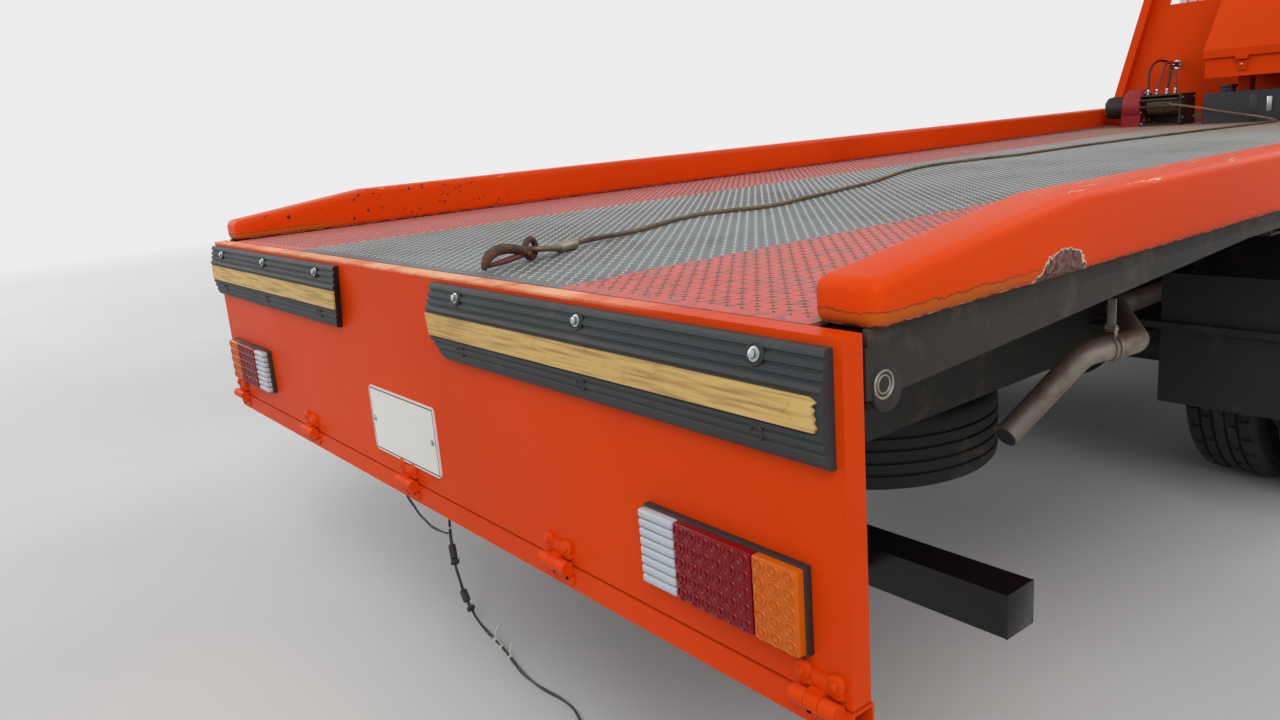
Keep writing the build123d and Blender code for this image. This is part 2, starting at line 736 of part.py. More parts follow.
rope_route = [
    (5190, 700, 127), (5128, 698, 124), (5086, 652, 116), (5069, 585, 106), (5061, 500, 90), (5056, 405, 70),
    (5053, 305, 49), (5048, 210, 31), (5021, 134, 18), (4963, 84, 10), (4886, 60, 6.5), (4750, 86, 6.5),
    (4580, 112, 6.5), (4410, 140, 6.5), (4240, 163, 6.5), (4070, 192, 6.5), (3900, 216, 6.5),
    (3730, 243, 6.5), (3560, 262, 6.5), (3390, 273, 6.5), (3220, 280, 6.5), (3060, 288, 6.5),
    (2910, 282, 6.5), (2780, 316, 6.5), (2640, 352, 6.5), (2500, 372, 6.5), (2350, 362, 6.5),
    (2200, 320, 6.5), (2060, 266, 6.5), (1930, 204, 6.5), (1800, 146, 6.5), (1660, 100, 6.5),
    (1520, 62, 6.5), (1390, 18, 6.5), (1260, -14, 6.5), (1140, -54, 6.5), (1045, -60, 6.5),
    (975, -12, 6.5), (895, 5, 6.5), (800, -18, 6.5), (705, -64, 6.5), (605, -110, 6.5),
    (505, -149, 8.5), (425, -172, 12), (352, -203, 12)]
rope_end = rope_route[-1]
sleeve_length = 70
rope_way = math.degrees(math.atan2(rope_end[1] - rope_route[-2][1], rope_end[0] - rope_route[-2][0]))

loom_radius = 4.5
loom_route = [
    (395, 620, -525), (395, 620, -600), (376, 602, -686), (345, 567, -765), (315, 522, -830), (292, 472, -895),
    (280, 428, -960), (276, 380, -1020), (277, 312, -1058), (272, 222, -1071), (258, 128, -1075),
    (241, 42, -1075), (239, -48, -1075), (252, -120, -1075), (249, -180, -1075), (228, -226, -1075)]
branch_radius = 4
branch_route = [
    (395, 980, -525), (395, 980, -600), (368, 960, -680), (344, 922, -757), (334, 862, -812), (327, 786, -846),
    (318, 706, -862), (310, 632, -866), (306, 572, -860), (305, 517, -850)]

hose_radius = 7
hose_routes = [
    [(5215, 855, 174), (5215, 855, 214), (5222, 862, 268), (5252, 868, 325), (5310, 867, 363),
     (5380, 862, 370), (5450, 860, 358), (5520, 859, 351), (5580, 859, 349)],
    [(5250, 822, 174), (5250, 822, 215), (5262, 812, 265), (5292, 812, 312), (5345, 822, 345),
     (5405, 834, 352), (5465, 840, 351), (5525, 841, 350), (5580, 841, 350)],
    [(5275, 776, 174), (5275, 776, 214), (5284, 768, 262), (5308, 776, 304), (5352, 798, 326),
     (5408, 822, 334), (5465, 836, 333), (5525, 841, 332), (5580, 842, 331)],
    [(5296, 738, 174), (5296, 738, 212), (5301, 741, 250), (5314, 748, 285), (5341, 768, 310),
     (5385, 799, 323), (5440, 832, 330), (5510, 854, 334), (5580, 861, 335)]]


def inFrame(route):
    return [Vector(tail_x + x, y, deck_top + z) for x, y, z in route]


def cordTube(name, route, radius):
    # Straight runs joined by arcs that are as large as the runs allow
    points = inFrame(route)
    radii = []
    for before, here, after in zip(points, points[1:], points[2:]):
        turn = math.radians((here - before).get_angle(after - here))
        run = min((here - before).length, (after - here).length)
        radii.append(0.45 * run / math.tan(turn / 2))
    path = FilletPolyline(*points, radius=radii)
    tube = sweep(Plane(path @ 0, z_dir=path % 0) * Circle(radius), path)
    section = math.pi * radius ** 2
    print(f"{name}: {path.length:.0f} mm long, volume {tube.volume / section / path.length:.4f} of its section "
          f"times that, tightest radius {min(radii):.0f} mm = {min(radii) / radius / 2:.1f} diameters")
    print("  radii:", ", ".join(f"{value:.0f}" for value in radii))
    return tube


def alongRope(shape):
    # A piece made along +X from the rope's end, over the deck, is laid behind the rope
    return Pos(tail_x + rope_end[0], rope_end[1], deck_top) * Rot(0, 0, rope_way) * shape


def ropeEye():
    # The sleeve that is pressed on the rope, and the loop round its thimble
    centre_z = rope_end[2]
    sleeve = barX(0, sleeve_length, 0, centre_z, 11)
    start = sleeve_length - 4
    outer = [(start, -8), (start, 8), (start + 44, 30), (start + 94, 30), (start + 94, -30),
             (start + 44, -30)]
    inner = [(start + 16, -2), (start + 16, 2), (start + 48, 18), (start + 82, 18), (start + 82, -18),
             (start + 48, -18)]
    face = make_face(Polyline(*[(x, y, 0) for x, y in outer], close=True))
    hole = make_face(Polyline(*[(x, y, 0) for x, y in inner], close=True))
    face = fillet(face.vertices().sort_by(Axis.X)[-2:], 24) - fillet(hole.vertices().sort_by(Axis.X)[-2:], 12)
    loop = Pos(start, 0, centre_z - 5) * Rot(0, -8, 0) * Pos(-start, 0, 0) * extrude(face, 12)
    return alongRope(sleeve + loop)


def ropeHook():
    # An eye round the loop, a shank and a bowl that stands on its point
    bar = 10
    eye_s = sleeve_length + 96
    eye_z = 26
    ring = Pos(eye_s, 0, eye_z) * Rot(90, 0, 0) * Torus(18, 6.5)
    tip_s, tip_z = sleeve_length + 248, bar + 0.8
    line = Spline((eye_s + 20, 0, eye_z - 2), (eye_s + 62, 0, 35), (eye_s + 108, 0, 36), (tip_s, 0, tip_z),
                  tangents=[(1, 0, 0.3), (0.15, 0, -1)])
    bowl = sweep(Plane(line @ 0, z_dir=line % 0) * Circle(bar), line)
    point = Pos(tip_s, 0, tip_z) * Sphere(bar)
    return alongRope(fused([bowl, ring, point]))


# Tail: lower rail, arms and underrun beam, then the folding board

hinge_half = 38
hinge_end = half_bed - 48       # middle of the outermost hinge
hinge_places = [-hinge_end, -hinge_end / 2, 0, hinge_end / 2, hinge_end]


def hollowBar(x0, x1, y0, y1, z0, z1, wall, along):
    outer = block(x0, x1, y0, y1, z0, z1)
    grow = {"x": (1, -wall, -wall), "y": (-wall, 1, -wall), "z": (-wall, -wall, 1)}[along]
    gx, gy, gz = grow
    return outer - block(x0 - gx, x1 + gx, y0 - gy, y1 + gy, z0 - gz, z1 + gz)


def lowerRail():
    high = seam_z - run_gap
    pieces = [hollowBar(tail_x, tail_x + lower_rail_depth, -half_bed, half_bed,
                        high - lower_rail_height, high, 4, "y")]
    for y in hinge_places:
        pieces += hingeLeaves(y, False)
    return fused(pieces)


def underrunFrame():
    beam = hollowBar(beam_x, beam_x + beam_depth, -half_bed + 15, half_bed - 15, beam_bottom,
                     beam_bottom + beam_height, 5, "y")
    pieces = [beam]
    for y in (-880, -300, 300, 880):
        pieces.append(block(tail_x + lower_rail_depth, beam_x + 2, y - 50, y + 50,
                            beam_bottom + 10, beam_bottom + 42))
    for side in (1, -1):
        y = side * tilt_beam_y
        pieces.append(block(beam_x + 5, beam_x + beam_depth - 5, y - 35, y + 35,
                            beam_bottom + beam_height - 3, runner_bottom))
    return fused(pieces)


def hingeLeaves(y, moving):
    # Three knuckles on one pin: the board has the middle one
    third = hinge_half * 2 / 3
    if moving:
        knuckle = barY(hinge_x, y - third / 2 + 1, y + third / 2 - 1, hinge_z, hinge_radius)
        leaf = block(tail_x - 6, tail_x, y - hinge_half, y + hinge_half, seam_z + 12, seam_z + 36)
        neck = block(hinge_x, tail_x, y - third / 2 + 1, y + third / 2 - 1, seam_z + 1, seam_z + 14)
        whole = fused([knuckle, leaf, neck])
        return [whole - barY(hinge_x, y - 60, y + 60, hinge_z, 5 + pin_gap)]
    sides = [(y - hinge_half, y - third / 2), (y + third / 2, y + hinge_half)]
    pieces = [barY(hinge_x, a, b, hinge_z, hinge_radius) for a, b in sides]
    pieces += [block(hinge_x, tail_x + 1, a, b, seam_z - run_gap - 12, seam_z - run_gap - 1)
               for a, b in sides]
    pieces.append(barY(hinge_x, y - hinge_half, y + hinge_half, hinge_z, 5))
    return pieces


def tailboard():
    panel = block(tail_x, tail_x + board_thick, -half_bed, half_bed, seam_z, deck_top)
    bays = 4
    wall = 4
    pitch = (bed_width - wall) / bays
    for bay in range(bays):
        y0 = -half_bed + wall + bay * pitch
        panel -= block(tail_x + wall, tail_x + board_thick + 1, y0, y0 + pitch - wall,
                       seam_z + wall, deck_top - wall)
    pieces = [panel]
    for y in hinge_places:
        pieces += hingeLeaves(y, True)
    return fused(pieces)


rubber_length = 1029
rubber_y0 = -half_bed + 15
rubber_y1 = rubber_y0 + rubber_length
rubber_top = deck_top - 9
rubber_height = 149


def rubberBumper():
    # Right side: ribbed flanks above and below a flat band
    rows = [(0, 8), (-8, 16), (-20, 22), (-24, 19), (-32, 28), (-36, 25), (-44, 34), (-48, 31),
            (-58, 41), (-66, rubber_depth), (-106, rubber_depth), (-112, 40), (-120, 30),
            (-124, 33), (-134, 21), (-138, 24), (-rubber_height, 10)]
    points = [(tail_x, rubber_top)] + [(tail_x - d, rubber_top + z) for z, d in rows]
    points.append((tail_x, rubber_top - rubber_height))
    bar = outlineXZ(points, rubber_y0, rubber_y1)
    cut = outlineYZ([(rubber_y1 + 1, rubber_top - 30), (rubber_y1 + 1, rubber_top - 200),
                     (rubber_y1 - 75, rubber_top - 200), (rubber_y1 - 45, rubber_top - 120)],
                    tail_x - 100, tail_x + 1)
    return bar - cut


lamp_y0 = -half_bed + 61
lamp_y1 = lamp_y0 + 312
lamp_top = deck_top - 294
lamp_height = 117
lamp_depth = 26


def lampCluster():
    z0 = lamp_top - lamp_height
    base = block(tail_x - 12, tail_x, lamp_y0, lamp_y1, z0, lamp_top)
    lenses = [(lamp_y0, lamp_y0 + 78), (lamp_y0 + 81, lamp_y0 + 233), (lamp_y0 + 235, lamp_y1)]
    blocks = [block(tail_x - lamp_depth, tail_x - 11, a, b, z0, lamp_top) for a, b in lenses]
    return fused([base] + blocks)


def numberPlate():
    z1 = deck_top - 276
    plate = block(tail_x - 4, tail_x, -160, 160, z1 - 152, z1)
    return fillet(plate.edges().filter_by(Axis.X), 12)


# Cab

screen_low = cab_floor + 550
screen_high = cab_roof - 130


def cabOuter():
    points = [(cab_front_x, cab_bottom - 1), (cab_front_x - 30, screen_low),
              (cab_front_x - 330, screen_high),
              (cab_front_x - 480, cab_roof), (cab_rear_x + 90, cab_roof), (cab_rear_x, cab_roof - 110),
              (cab_rear_x, cab_bottom - 1)]
    body = outlineXZ(points, -cab_half, cab_half)
    edges = [edge for edge in body.edges() if edge.center().Z > cab_bottom + 10
             and abs(abs(edge.center().Y) - cab_half) < 1]
    return fillet(edges, cab_corner)


door_front_x = nose_x - 340
door_rear_x = door_front_x - 915
door_low = cab_floor + 35
door_high = cab_roof - 200
belt_z = cab_floor + 580


def doorOutline(gap):
    lean = 245
    return [(door_rear_x - gap, door_low - gap), (door_front_x + gap, door_low - gap),
            (door_front_x + gap, belt_z), (door_front_x - lean + gap, door_high + gap),
            (door_rear_x - gap, door_high + gap)]


def windowOutline(gap):
    return [(door_rear_x + 75 + gap, belt_z + 40 + gap), (door_front_x - 85 - gap, belt_z + 40 + gap),
            (door_front_x - 290 - gap, door_high - 65 - gap),
            (door_rear_x + 75 + gap, door_high - 65 - gap)]


def screenOutline(gap):
    low, high = screen_low + 60 + gap, screen_high - 40 - gap
    return [(-870 + gap, low), (870 - gap, low), (800 - gap, high), (-800 + gap, high)]


def rearWindowOutline(gap):
    low, high = screen_low + 120 + gap, screen_high - 110 - gap
    return [(-520 + gap, low), (520 - gap, low), (520 - gap, high), (-520 + gap, high)]


def cabShell():
    shell = cabOuter() - outlineXZ([
        (cab_front_x - cab_wall, cab_floor + 20), (cab_front_x - 30 - cab_wall, screen_low),
        (cab_front_x - 330 - cab_wall, screen_high - 10), (cab_front_x - 470, cab_roof - cab_wall),
        (cab_rear_x + 80, cab_roof - cab_wall), (cab_rear_x + cab_wall, cab_roof - 120),
        (cab_rear_x + cab_wall, cab_floor + 20)], -cab_half + cab_wall, cab_half - cab_wall)
    shell -= block(cab_rear_x - 1, cab_front_x - cab_wall, -cab_half + cab_wall,
                   cab_half - cab_wall, cab_bottom - 5, cab_floor)
    shell -= block(cab_rear_x - 1, cab_front_x + 10, -cab_half - 10, cab_half + 10,
                   cab_bottom - 5, cab_bottom)
    shell -= outlineXZ(doorOutline(door_gap), -cab_half - 10, cab_half + 10)
    shell -= barY(front_axle_x, -cab_half - 10, cab_half + 10, axle_z, 460)
    shell -= outlineYZ(screenOutline(0), cab_front_x - 450, cab_front_x + 10, 60)
    shell -= outlineYZ(rearWindowOutline(0), cab_rear_x - 10, cab_rear_x + cab_wall + 10, 60)
    hump = block(hump_x0, hump_x1, -hump_half, hump_half, cab_floor, hump_top)
    hump -= block(hump_x0 + 20, hump_x1 - 20, -hump_half + 20, hump_half - 20, cab_floor - 40,
                  hump_top - 20)
    shell -= block(hump_x0 + 20, hump_x1 - 20, -hump_half + 20, hump_half - 20, cab_floor - 40,
                   cab_floor + 30)
    arms = []
    for side in (1, -1):
        y = side * (rail_out - 35)
        arm = block(cab_pivot_x - 32, cab_pivot_x + 32, y - 14, y + 14, cab_pivot_z, cab_floor + 10)
        arm += barY(cab_pivot_x, y - 14, y + 14, cab_pivot_z, 32)
        arms.append(arm - barY(cab_pivot_x, y - 20, y + 20, cab_pivot_z, 15 + pin_gap))
    return fused([shell, hump] + arms + seatFrames() + doorHingePins())


hump_x0, hump_x1 = cab_rear_x + 130, cab_rear_x + 1080
hump_half = 370
engine_half = 300
hump_top = cab_floor + 240


def engine():
    return fillet(block(hump_x0 + 120, hump_x1 - 90, -engine_half, engine_half, axle_z + 45,
                        hump_top - 60)
                  .edges().filter_by(Axis.Z), 40)


def cabGlass():
    middle = cab_wall / 2
    lean0, lean1 = cab_front_x - 30, cab_front_x - 330
    slab = outlineXZ([(lean0 - middle + 6, screen_low), (lean1 - middle + 6, screen_high),
                      (lean1 - middle, screen_high), (lean0 - middle, screen_low)], -900, 900)
    front = slab & outlineYZ(screenOutline(1), cab_front_x - 450, cab_front_x + 10, 60)
    rear = outlineYZ(rearWindowOutline(0.5), cab_rear_x + middle, cab_rear_x + middle + 6, 60)
    return [front, rear]


def doorShell():
    # Left door: the cab's own wall inside the door's outline
    inner = cab_half - cab_wall
    slab = outlineXZ(doorOutline(0), inner, cab_half)
    slab -= outlineXZ(windowOutline(0), inner - 5, cab_half + 5)
    for z in door_hinges:
        slab += block(door_front_x - 60, door_pin_x, cab_half, cab_half + 5, z, z + 34)
        slab += barZ(door_pin_x, door_pin_y, z, z + 34, 9)
        slab -= barZ(door_pin_x, door_pin_y, z - 1, z + 35, 4 + seat_gap)
    return slab


door_pin_x = door_front_x + door_gap / 2
door_pin_y = cab_half + 9
door_hinges = [cab_floor + 170, cab_floor + 470]


def doorHingePins():
    # The cab's half of each hinge, under the door's half
    pieces = []
    for z in door_hinges:
        leaf = block(door_pin_x, door_pin_x + 60, cab_half - 1, cab_half + 5, z - 36, z - 0.5)
        knuckle = barZ(door_pin_x, door_pin_y, z - 36, z - 0.5, 9)
        pin = barZ(door_pin_x, door_pin_y, z - 10, z + 34, 4)
        pieces.append(fused([leaf, knuckle, pin]))
    return pieces + [flipped(piece) for piece in pieces]


def doorGlass():
    middle = cab_half - cab_wall / 2
    return outlineXZ(windowOutline(seat_gap), middle - 3, middle + 3)


def seats():
    pieces = []
    for y in (480, -480):
        base = block(cab_rear_x + 260, cab_rear_x + 760, y - 240, y + 240, hump_top + 10, hump_top + 130)
        front = cab_rear_x + 260 - seat_gap
        back = outlineXZ([(front - 95, hump_top + 10), (front, hump_top + 10), (front, hump_top + 150),
                          (front - 60, hump_top + 700), (front - 160, hump_top + 700)],
                         y - 230, y + 230)
        pieces += [fillet(base.edges(), 20), fillet(back.edges(), 20)]
    return pieces


def seatFrames():
    pieces = []
    for y in (480, -480):
        low, high = (hump_half, 800) if y > 0 else (-800, -hump_half)
        pieces.append(block(cab_rear_x + 200, cab_rear_x + 780, low, high, cab_floor + 20, hump_top + 9.7))
    return pieces


dash_x = cab_front_x - cab_wall - 36
dash_half = cab_half - cab_wall - 25


def dashboard():
    z = cab_floor
    body = outlineXZ([(dash_x, z + 170), (dash_x, z + 530), (dash_x - 120, z + 550),
                      (dash_x - 330, z + 450), (dash_x - 300, z + 290), (dash_x - 120, z + 170)],
                     -dash_half, dash_half, 12)
    foot_y = dash_half - 160
    feet = [block(dash_x - 60, dash_x - 10, y - 20, y + 20, z + 20, z + 180) for y in (-foot_y, foot_y)]
    return fused([body] + feet) - wheelPlace() * Pos(0, 0, -170) * Cylinder(24 + seat_gap, 340)


def wheelPlace():
    return Pos(dash_x - 420, 480, cab_floor + 590) * Rot(0, -28, 0)


def steeringWheel():
    ring = Torus(205, 15)
    spoke = Box(400, 34, 14)
    hub = Cylinder(45, 50)
    column = Pos(0, 0, -150) * Cylinder(24, 300)
    whole = ring + spoke + hub + column
    return wheelPlace() * whole


def grille():
    y = 560
    low = cab_floor + 230
    frame = block(cab_front_x - 22, cab_front_x + 14, -y, y, low, low + 180)
    for row in range(3):
        z = low + 20 + row * 50
        frame -= block(cab_front_x, cab_front_x + 20, -y + 20, y - 20, z, z + 34)
    return frame - cabOuter()


def headlamps():
    z0, z1 = cab_floor + 10, cab_floor + 170
    x0 = cab_front_x - 8
    lamp = block(x0, cab_front_x + 22, 600, 900, z0, z1)
    return bothSides(fillet(lamp.edges().filter_by(Axis.X), 30) - cabOuter())


def mirrors():
    x = door_front_x + 90
    low, high = belt_z - 140, belt_z + 520
    arm = fused([barY(x, cab_half, cab_half + 160, high, 10),
                 barY(x, cab_half, cab_half + 160, low, 10),
                 barZ(x, cab_half + 160, low - 10, high + 10, 10)])
    head = block(x - 35, x + 15, cab_half + 60, cab_half + 270, low + 230, low + 570)
    head = fillet(head.edges(), 14)
    return bothSides(arm + head)


def lightBar():
    z0 = cab_roof + 30
    x = (cab_front_x - 480 + cab_rear_x + 90) / 2
    bar = block(x - 110, x + 110, -560, 560, z0, z0 + 100)
    bar = fillet(bar.edges().filter_by(Axis.Y).group_by(Axis.Z)[-1], 40)
    feet = [block(x - 40, x + 40, y - 30, y + 30, cab_roof, z0) for y in (-420, 420)]
    return fused([bar] + feet)


step_x0, step_x1 = front_axle_x + 485, front_axle_x + 825
step_low = rail_bottom - 40


def cabSteps():
    # Two treads in a skirt below each door, hung from the cab's floor edge
    outer = cab_half - 15
    pieces = []
    skirt = block(step_x0, step_x1, outer - 20, outer, step_low, cab_bottom)
    treads = [step_low, step_low + 130]
    for z in treads:
        skirt -= block(step_x0 + 30, step_x1 - 30, outer - 21, outer + 1, z + 22, z + 105)
        pieces.append(block(step_x0, step_x1, outer - 190, outer - 15, z, z + 18))
    for x in (step_x0, step_x1 - 8):
        pieces.append(block(x, x + 8, outer - 190, outer - 15, step_low, cab_bottom))
    hook = block(step_x0, step_x1, cab_half - cab_wall + 2, outer, cab_bottom - 20, cab_bottom)
    return bothSides(fused([skirt, hook] + pieces))


def frontBumper():
    x0, x1 = cab_front_x + 8, nose_x
    z0, z1 = bumper_top - bumper_height, bumper_top
    half = cab_half - 15
    outline = [(x0 - 130, -half), (x1 - 90, -half), (x1, 160 - half), (x1, half - 160), (x1 - 90, half),
               (x0 - 130, half)]
    shell = outlineXY(outline, z0, z1)
    inner = half - 25
    shell -= outlineXY([(x0 - 131, -inner), (x1 - 105, -inner), (x1 - 25, 145 - inner), (x1 - 25, inner - 145),
                        (x1 - 105, inner), (x0 - 131, inner)], z0 - 1, z1 - 25)
    shell -= block(x0 - 131, x0 + 5, 25 - inner, inner - 25, z1 - 30, z1 + 1)
    for side in (1, -1):
        y = side * (rail_out - 35)
        shell -= block(x0 - 131, nose_x - 30, y - 30, y + 30, z1 - 30, z1 + 1)
    stays = []
    for side in (1, -1):
        low, high = sorted([side * (rail_out + 10), side * (rail_out + 40)])
        stay_z = rail_bottom + 20
        stays.append(block(chassis_front_x - 90, x1 - 20, low, high, stay_z, stay_z + 60))
        side_low, side_high = sorted([side * rail_out, side * (rail_out + 12)])
        stays.append(block(chassis_front_x - 90, chassis_front_x - 62, side_low, side_high, stay_z,
                           stay_z + 60))
    return fused([shell] + stays)


# Pieces along the chassis

def driveShaft():
    return fused([barX(rear_axle_x + 250, hump_x0 - 30, 0, axle_z + 20, 40),
                  barX(hump_x0 - 60, hump_x0 + 120, 0, axle_z + 20 + 110, 110)])


def fuelTank():
    x0 = front_axle_x - 1450
    tank = fillet(block(x0, x0 + 750, 470, 900, rail_bottom - 70, rail_top - 20)
                  .edges().filter_by(Axis.X), 50)
    straps = [block(x, x + 50, rail_out, 472, rail_bottom + 20, rail_top - 60)
              for x in (x0 + 120, x0 + 580)]
    return fused([tank] + straps)


def batteryBox():
    x0 = front_axle_x - 1300
    box = fillet(block(x0, x0 + 550, -850, -470, rail_bottom - 70, rail_top - 30)
                 .edges().filter_by(Axis.Z), 20)
    return box + block(x0 + 50, x0 + 500, -472, -rail_out, rail_bottom + 40, rail_top - 60)


guard_x0, guard_x1 = rear_axle_x + 610, front_axle_x - 640
guard_y = half_bed - 145


def sideGuards():
    # Two rails on posts, each post on a bar from the chassis rail
    pieces = []
    low, high = rail_bottom - 60, rail_top - 90
    for z in (low, high):
        pieces.append(block(guard_x0, guard_x1, guard_y, guard_y + 30, z, z + 90))
    for x in (guard_x0 + 120, (guard_x0 + guard_x1) / 2 - 300, guard_x1 - 120):
        post = block(x - 25, x + 25, guard_y - 30, guard_y, low, rail_top - 2)
        pieces += [post, block(x - 25, x + 25, rail_out, guard_y - 30, rail_top - 18, rail_top - 2)]
    return pieces + [flipped(piece) for piece in pieces]


spare_x = cross_tubes[1]
spare_top = rail_bottom - 16


def spareWheel():
    lay = Pos(spare_x, 0, spare_top - tyre_width / 2) * Rot(-90, 0, 0)
    bolt_hole = barZ(spare_x, 0, 200, rail_bottom, 16 + seat_gap)
    return [lay * tyre(), lay * rim(0) - bolt_hole]


def spareCarrier():
    # A bolt from the cross tube through the middle of the spare wheel
    disc_z = spare_top - tyre_width / 2
    return fused([barZ(spare_x, 0, disc_z - 45, rail_bottom + 80, 16),
                  barZ(spare_x, 0, disc_z - 45, disc_z - 10 - seat_gap, 45)])


muffler_x0, muffler_x1 = rear_axle_x + 860, rear_axle_x + 1560
muffler_y, muffler_z = -640, 530
pipe_radius = 32
mouth_x = tail_x + 1400
over_axle_z = axle_z + 265


def exhaust():
    # Over the axle beside the right rail, then out and down under the bed
    path = FilletPolyline((muffler_x0 + 10, muffler_y, muffler_z), (muffler_x0 - 190, -480, over_axle_z),
                          (rear_axle_x - 640, -480, over_axle_z), (mouth_x + 260, -780, deck_top - 390),
                          (mouth_x + 110, -720, deck_top - 400), (mouth_x, -590, deck_top - 600),
                          radius=60)
    pipe = sweep(Plane(path @ 0, z_dir=path % 0) * Circle(pipe_radius), path)
    muffler = barX(muffler_x0, muffler_x1, muffler_y, muffler_z, 85)
    stays = [block(x, x + 30, -rail_out - 200, -rail_out, muffler_z + 50, muffler_z + 80)
             for x in (muffler_x0 + 120, muffler_x1 - 150)]
    return [pipe - muffler, fused([muffler] + stays)]


guard_radius = 450
flap_width = 550


def mudguards():
    inner_y, outer_y = rear_wheel_y - 255, rear_wheel_y + 300
    ring = barY(rear_axle_x, inner_y, outer_y, axle_z, guard_radius)
    ring -= barY(rear_axle_x, inner_y - 1, outer_y + 1, axle_z, guard_radius - 5)
    ring -= block(rear_axle_x - 600, rear_axle_x + 600, inner_y - 2, outer_y + 2,
                  axle_z - 600, axle_z + 130)
    flap_x = tail_x + 2200
    flap_low = deck_top - 710
    flap_high = flap_low + 400
    flap_y = half_bed - 75
    flap = block(flap_x, flap_x + 8, flap_y - flap_width, flap_y, flap_low, flap_high)
    stay_z = hangerArm(rear_spring_seat + rear_camber + 21) + hanger_thick + 3
    stay = block(flap_x - 20, flap_x, rail_out, flap_y, stay_z, stay_z + 20)
    crown = axle_z + guard_radius
    x0, x1 = rear_axle_x - 30, rear_axle_x + 30
    stand_y = rail_out + 24
    foot = block(x0, x1, rail_out, stand_y, rail_top - 60, rail_top - 20)
    stand = block(x0, x1, stand_y, stand_y + 8, rail_top - 60, crown + 8)
    arm = block(x0, x1, stand_y + 8, inner_y + 80, crown, crown + 8)
    pieces = [ring, fused([foot, stand, arm]), flap, stay]
    return pieces + [flipped(piece) for piece in pieces]


def main():
    os.makedirs("parts", exist_ok=True)
    save("chassis_frame", chassis())
    save("front_axle", frontAxle())
    save("rear_axle", rearAxle() + driveShaft())
    save("leaf_springs", springs())
    save("engine_block", engine())
    save("fuel_tank", fuelTank())
    save("battery_box", batteryBox())
    save("side_guards", sideGuards())
    save("exhaust", exhaust())
    spare = spareWheel()
    save("spare_wheel", spare)
    save("rear_mudguards", mudguards())
    save("front_bumper", frontBumper())
    left = knuckle()
    save("knuckle_left", left)
    save("knuckle_right", flipped(left))
    place = Pos(front_axle_x, front_wheel_y, axle_z)
    save("tyre_front_left", place * tyre())
    save("rim_front_left", place * frontWheel())
    save("tyre_front_right", flipped(place * tyre()))
    save("rim_front_right", flipped(place * frontWheel()))
    place = Pos(rear_axle_x, rear_wheel_y, axle_z)
    twins = [place * Pos(0, way * twin_spacing / 2, 0) * tyre() for way in (1, -1)]
    save("tyres_rear_left", twins)
    save("tyres_rear_right", [flipped(twin) for twin in twins])
    save("rims_rear_left", place * rearTwins())
    save("rims_rear_right", flipped(place * rearTwins()))
    save("tilt_frame", tiltFrame() + [slideBarrel()])
    save("tilt_barrels", [tiltBarrel(y) for y in (cylinder_y, -cylinder_y)])
    save("tilt_rods", [tiltRod(y) for y in (cylinder_y, -cylinder_y)])
    save("bed_beams", bedBeams())
    save("bed_deck", deck())
    save("side_rails", bothSides(sideRail()))
    save("side_sills", sills())
    save("headboard", headboard())
    save("toolbox", toolbox())
    save("toolbox_lid", toolboxLid())
    save("oil_tank", oilTank())
    save("winch", winch())
    save("winch_drum", winchDrum())
    save("winch_rope", cordTube("winch_rope", rope_route, rope_radius))
    save("rope_hook", [ropeEye(), ropeHook()])
    save("winch_hoses", [cordTube(f"winch hose {number}", route, hose_radius)
                         for number, route in enumerate(hose_routes)])
    save("lamp_loom", cordTube("lamp_loom", loom_route, loom_radius))
    save("lamp_loom_branch", cordTube("lamp_loom_branch", branch_route, branch_radius))
    save("lower_rail", lowerRail())
    save("underrun_frame", underrunFrame())
    save("tailboard", tailboard())
    save("rubber_bumpers", bothSides(rubberBumper()))
    save("rear_lamps", bothSides(lampCluster()))
    save("number_plate", numberPlate())
    save("cab_shell", cabShell())
    save("cab_glass", cabGlass())
    save("door_left", doorShell())
    save("door_right", flipped(doorShell()))
    save("door_glass_left", doorGlass())
    save("door_glass_right", flipped(doorGlass()))
    save("seats", seats())
    save("dashboard", dashboard())
    save("steering_wheel", steeringWheel())
    save("grille", grille())
    save("headlamps", headlamps())
    save("mirrors", mirrors())
    save("light_bar", lightBar())
    save("cab_steps", cabSteps())


main()
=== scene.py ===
import math

import bpy
from mathutils import Matrix, Vector


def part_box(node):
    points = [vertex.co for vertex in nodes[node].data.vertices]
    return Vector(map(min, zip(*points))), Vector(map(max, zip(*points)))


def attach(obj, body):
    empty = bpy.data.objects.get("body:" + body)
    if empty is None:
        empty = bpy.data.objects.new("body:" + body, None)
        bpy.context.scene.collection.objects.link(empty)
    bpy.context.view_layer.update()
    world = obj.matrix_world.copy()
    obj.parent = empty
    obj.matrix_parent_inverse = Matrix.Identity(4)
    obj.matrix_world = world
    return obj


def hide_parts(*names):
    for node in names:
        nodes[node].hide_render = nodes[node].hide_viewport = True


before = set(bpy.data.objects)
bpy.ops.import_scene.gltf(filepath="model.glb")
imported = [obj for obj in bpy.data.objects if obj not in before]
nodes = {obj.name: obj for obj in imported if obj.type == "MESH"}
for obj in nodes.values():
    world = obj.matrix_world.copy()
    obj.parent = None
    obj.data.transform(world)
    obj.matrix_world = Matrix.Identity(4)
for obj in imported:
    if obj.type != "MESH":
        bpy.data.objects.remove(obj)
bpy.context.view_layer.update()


def middleOf(name):
    low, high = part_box(name)
    return (low + high) / 2


# Places that most pieces are set from, in metres
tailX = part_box("number_plate")[0].x + 0.004      # outer face of the tailboard
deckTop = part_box("bed_deck")[1].z - 0.057        # the kick strip stands 57 mm over the deck
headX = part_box("bed_deck")[1].x
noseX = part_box("front_bumper")[1].x
wheelZ = 0.395
frontAxleX = middleOf("tyre_front_left").x
rearAxleX = middleOf("tyres_rear_left").x

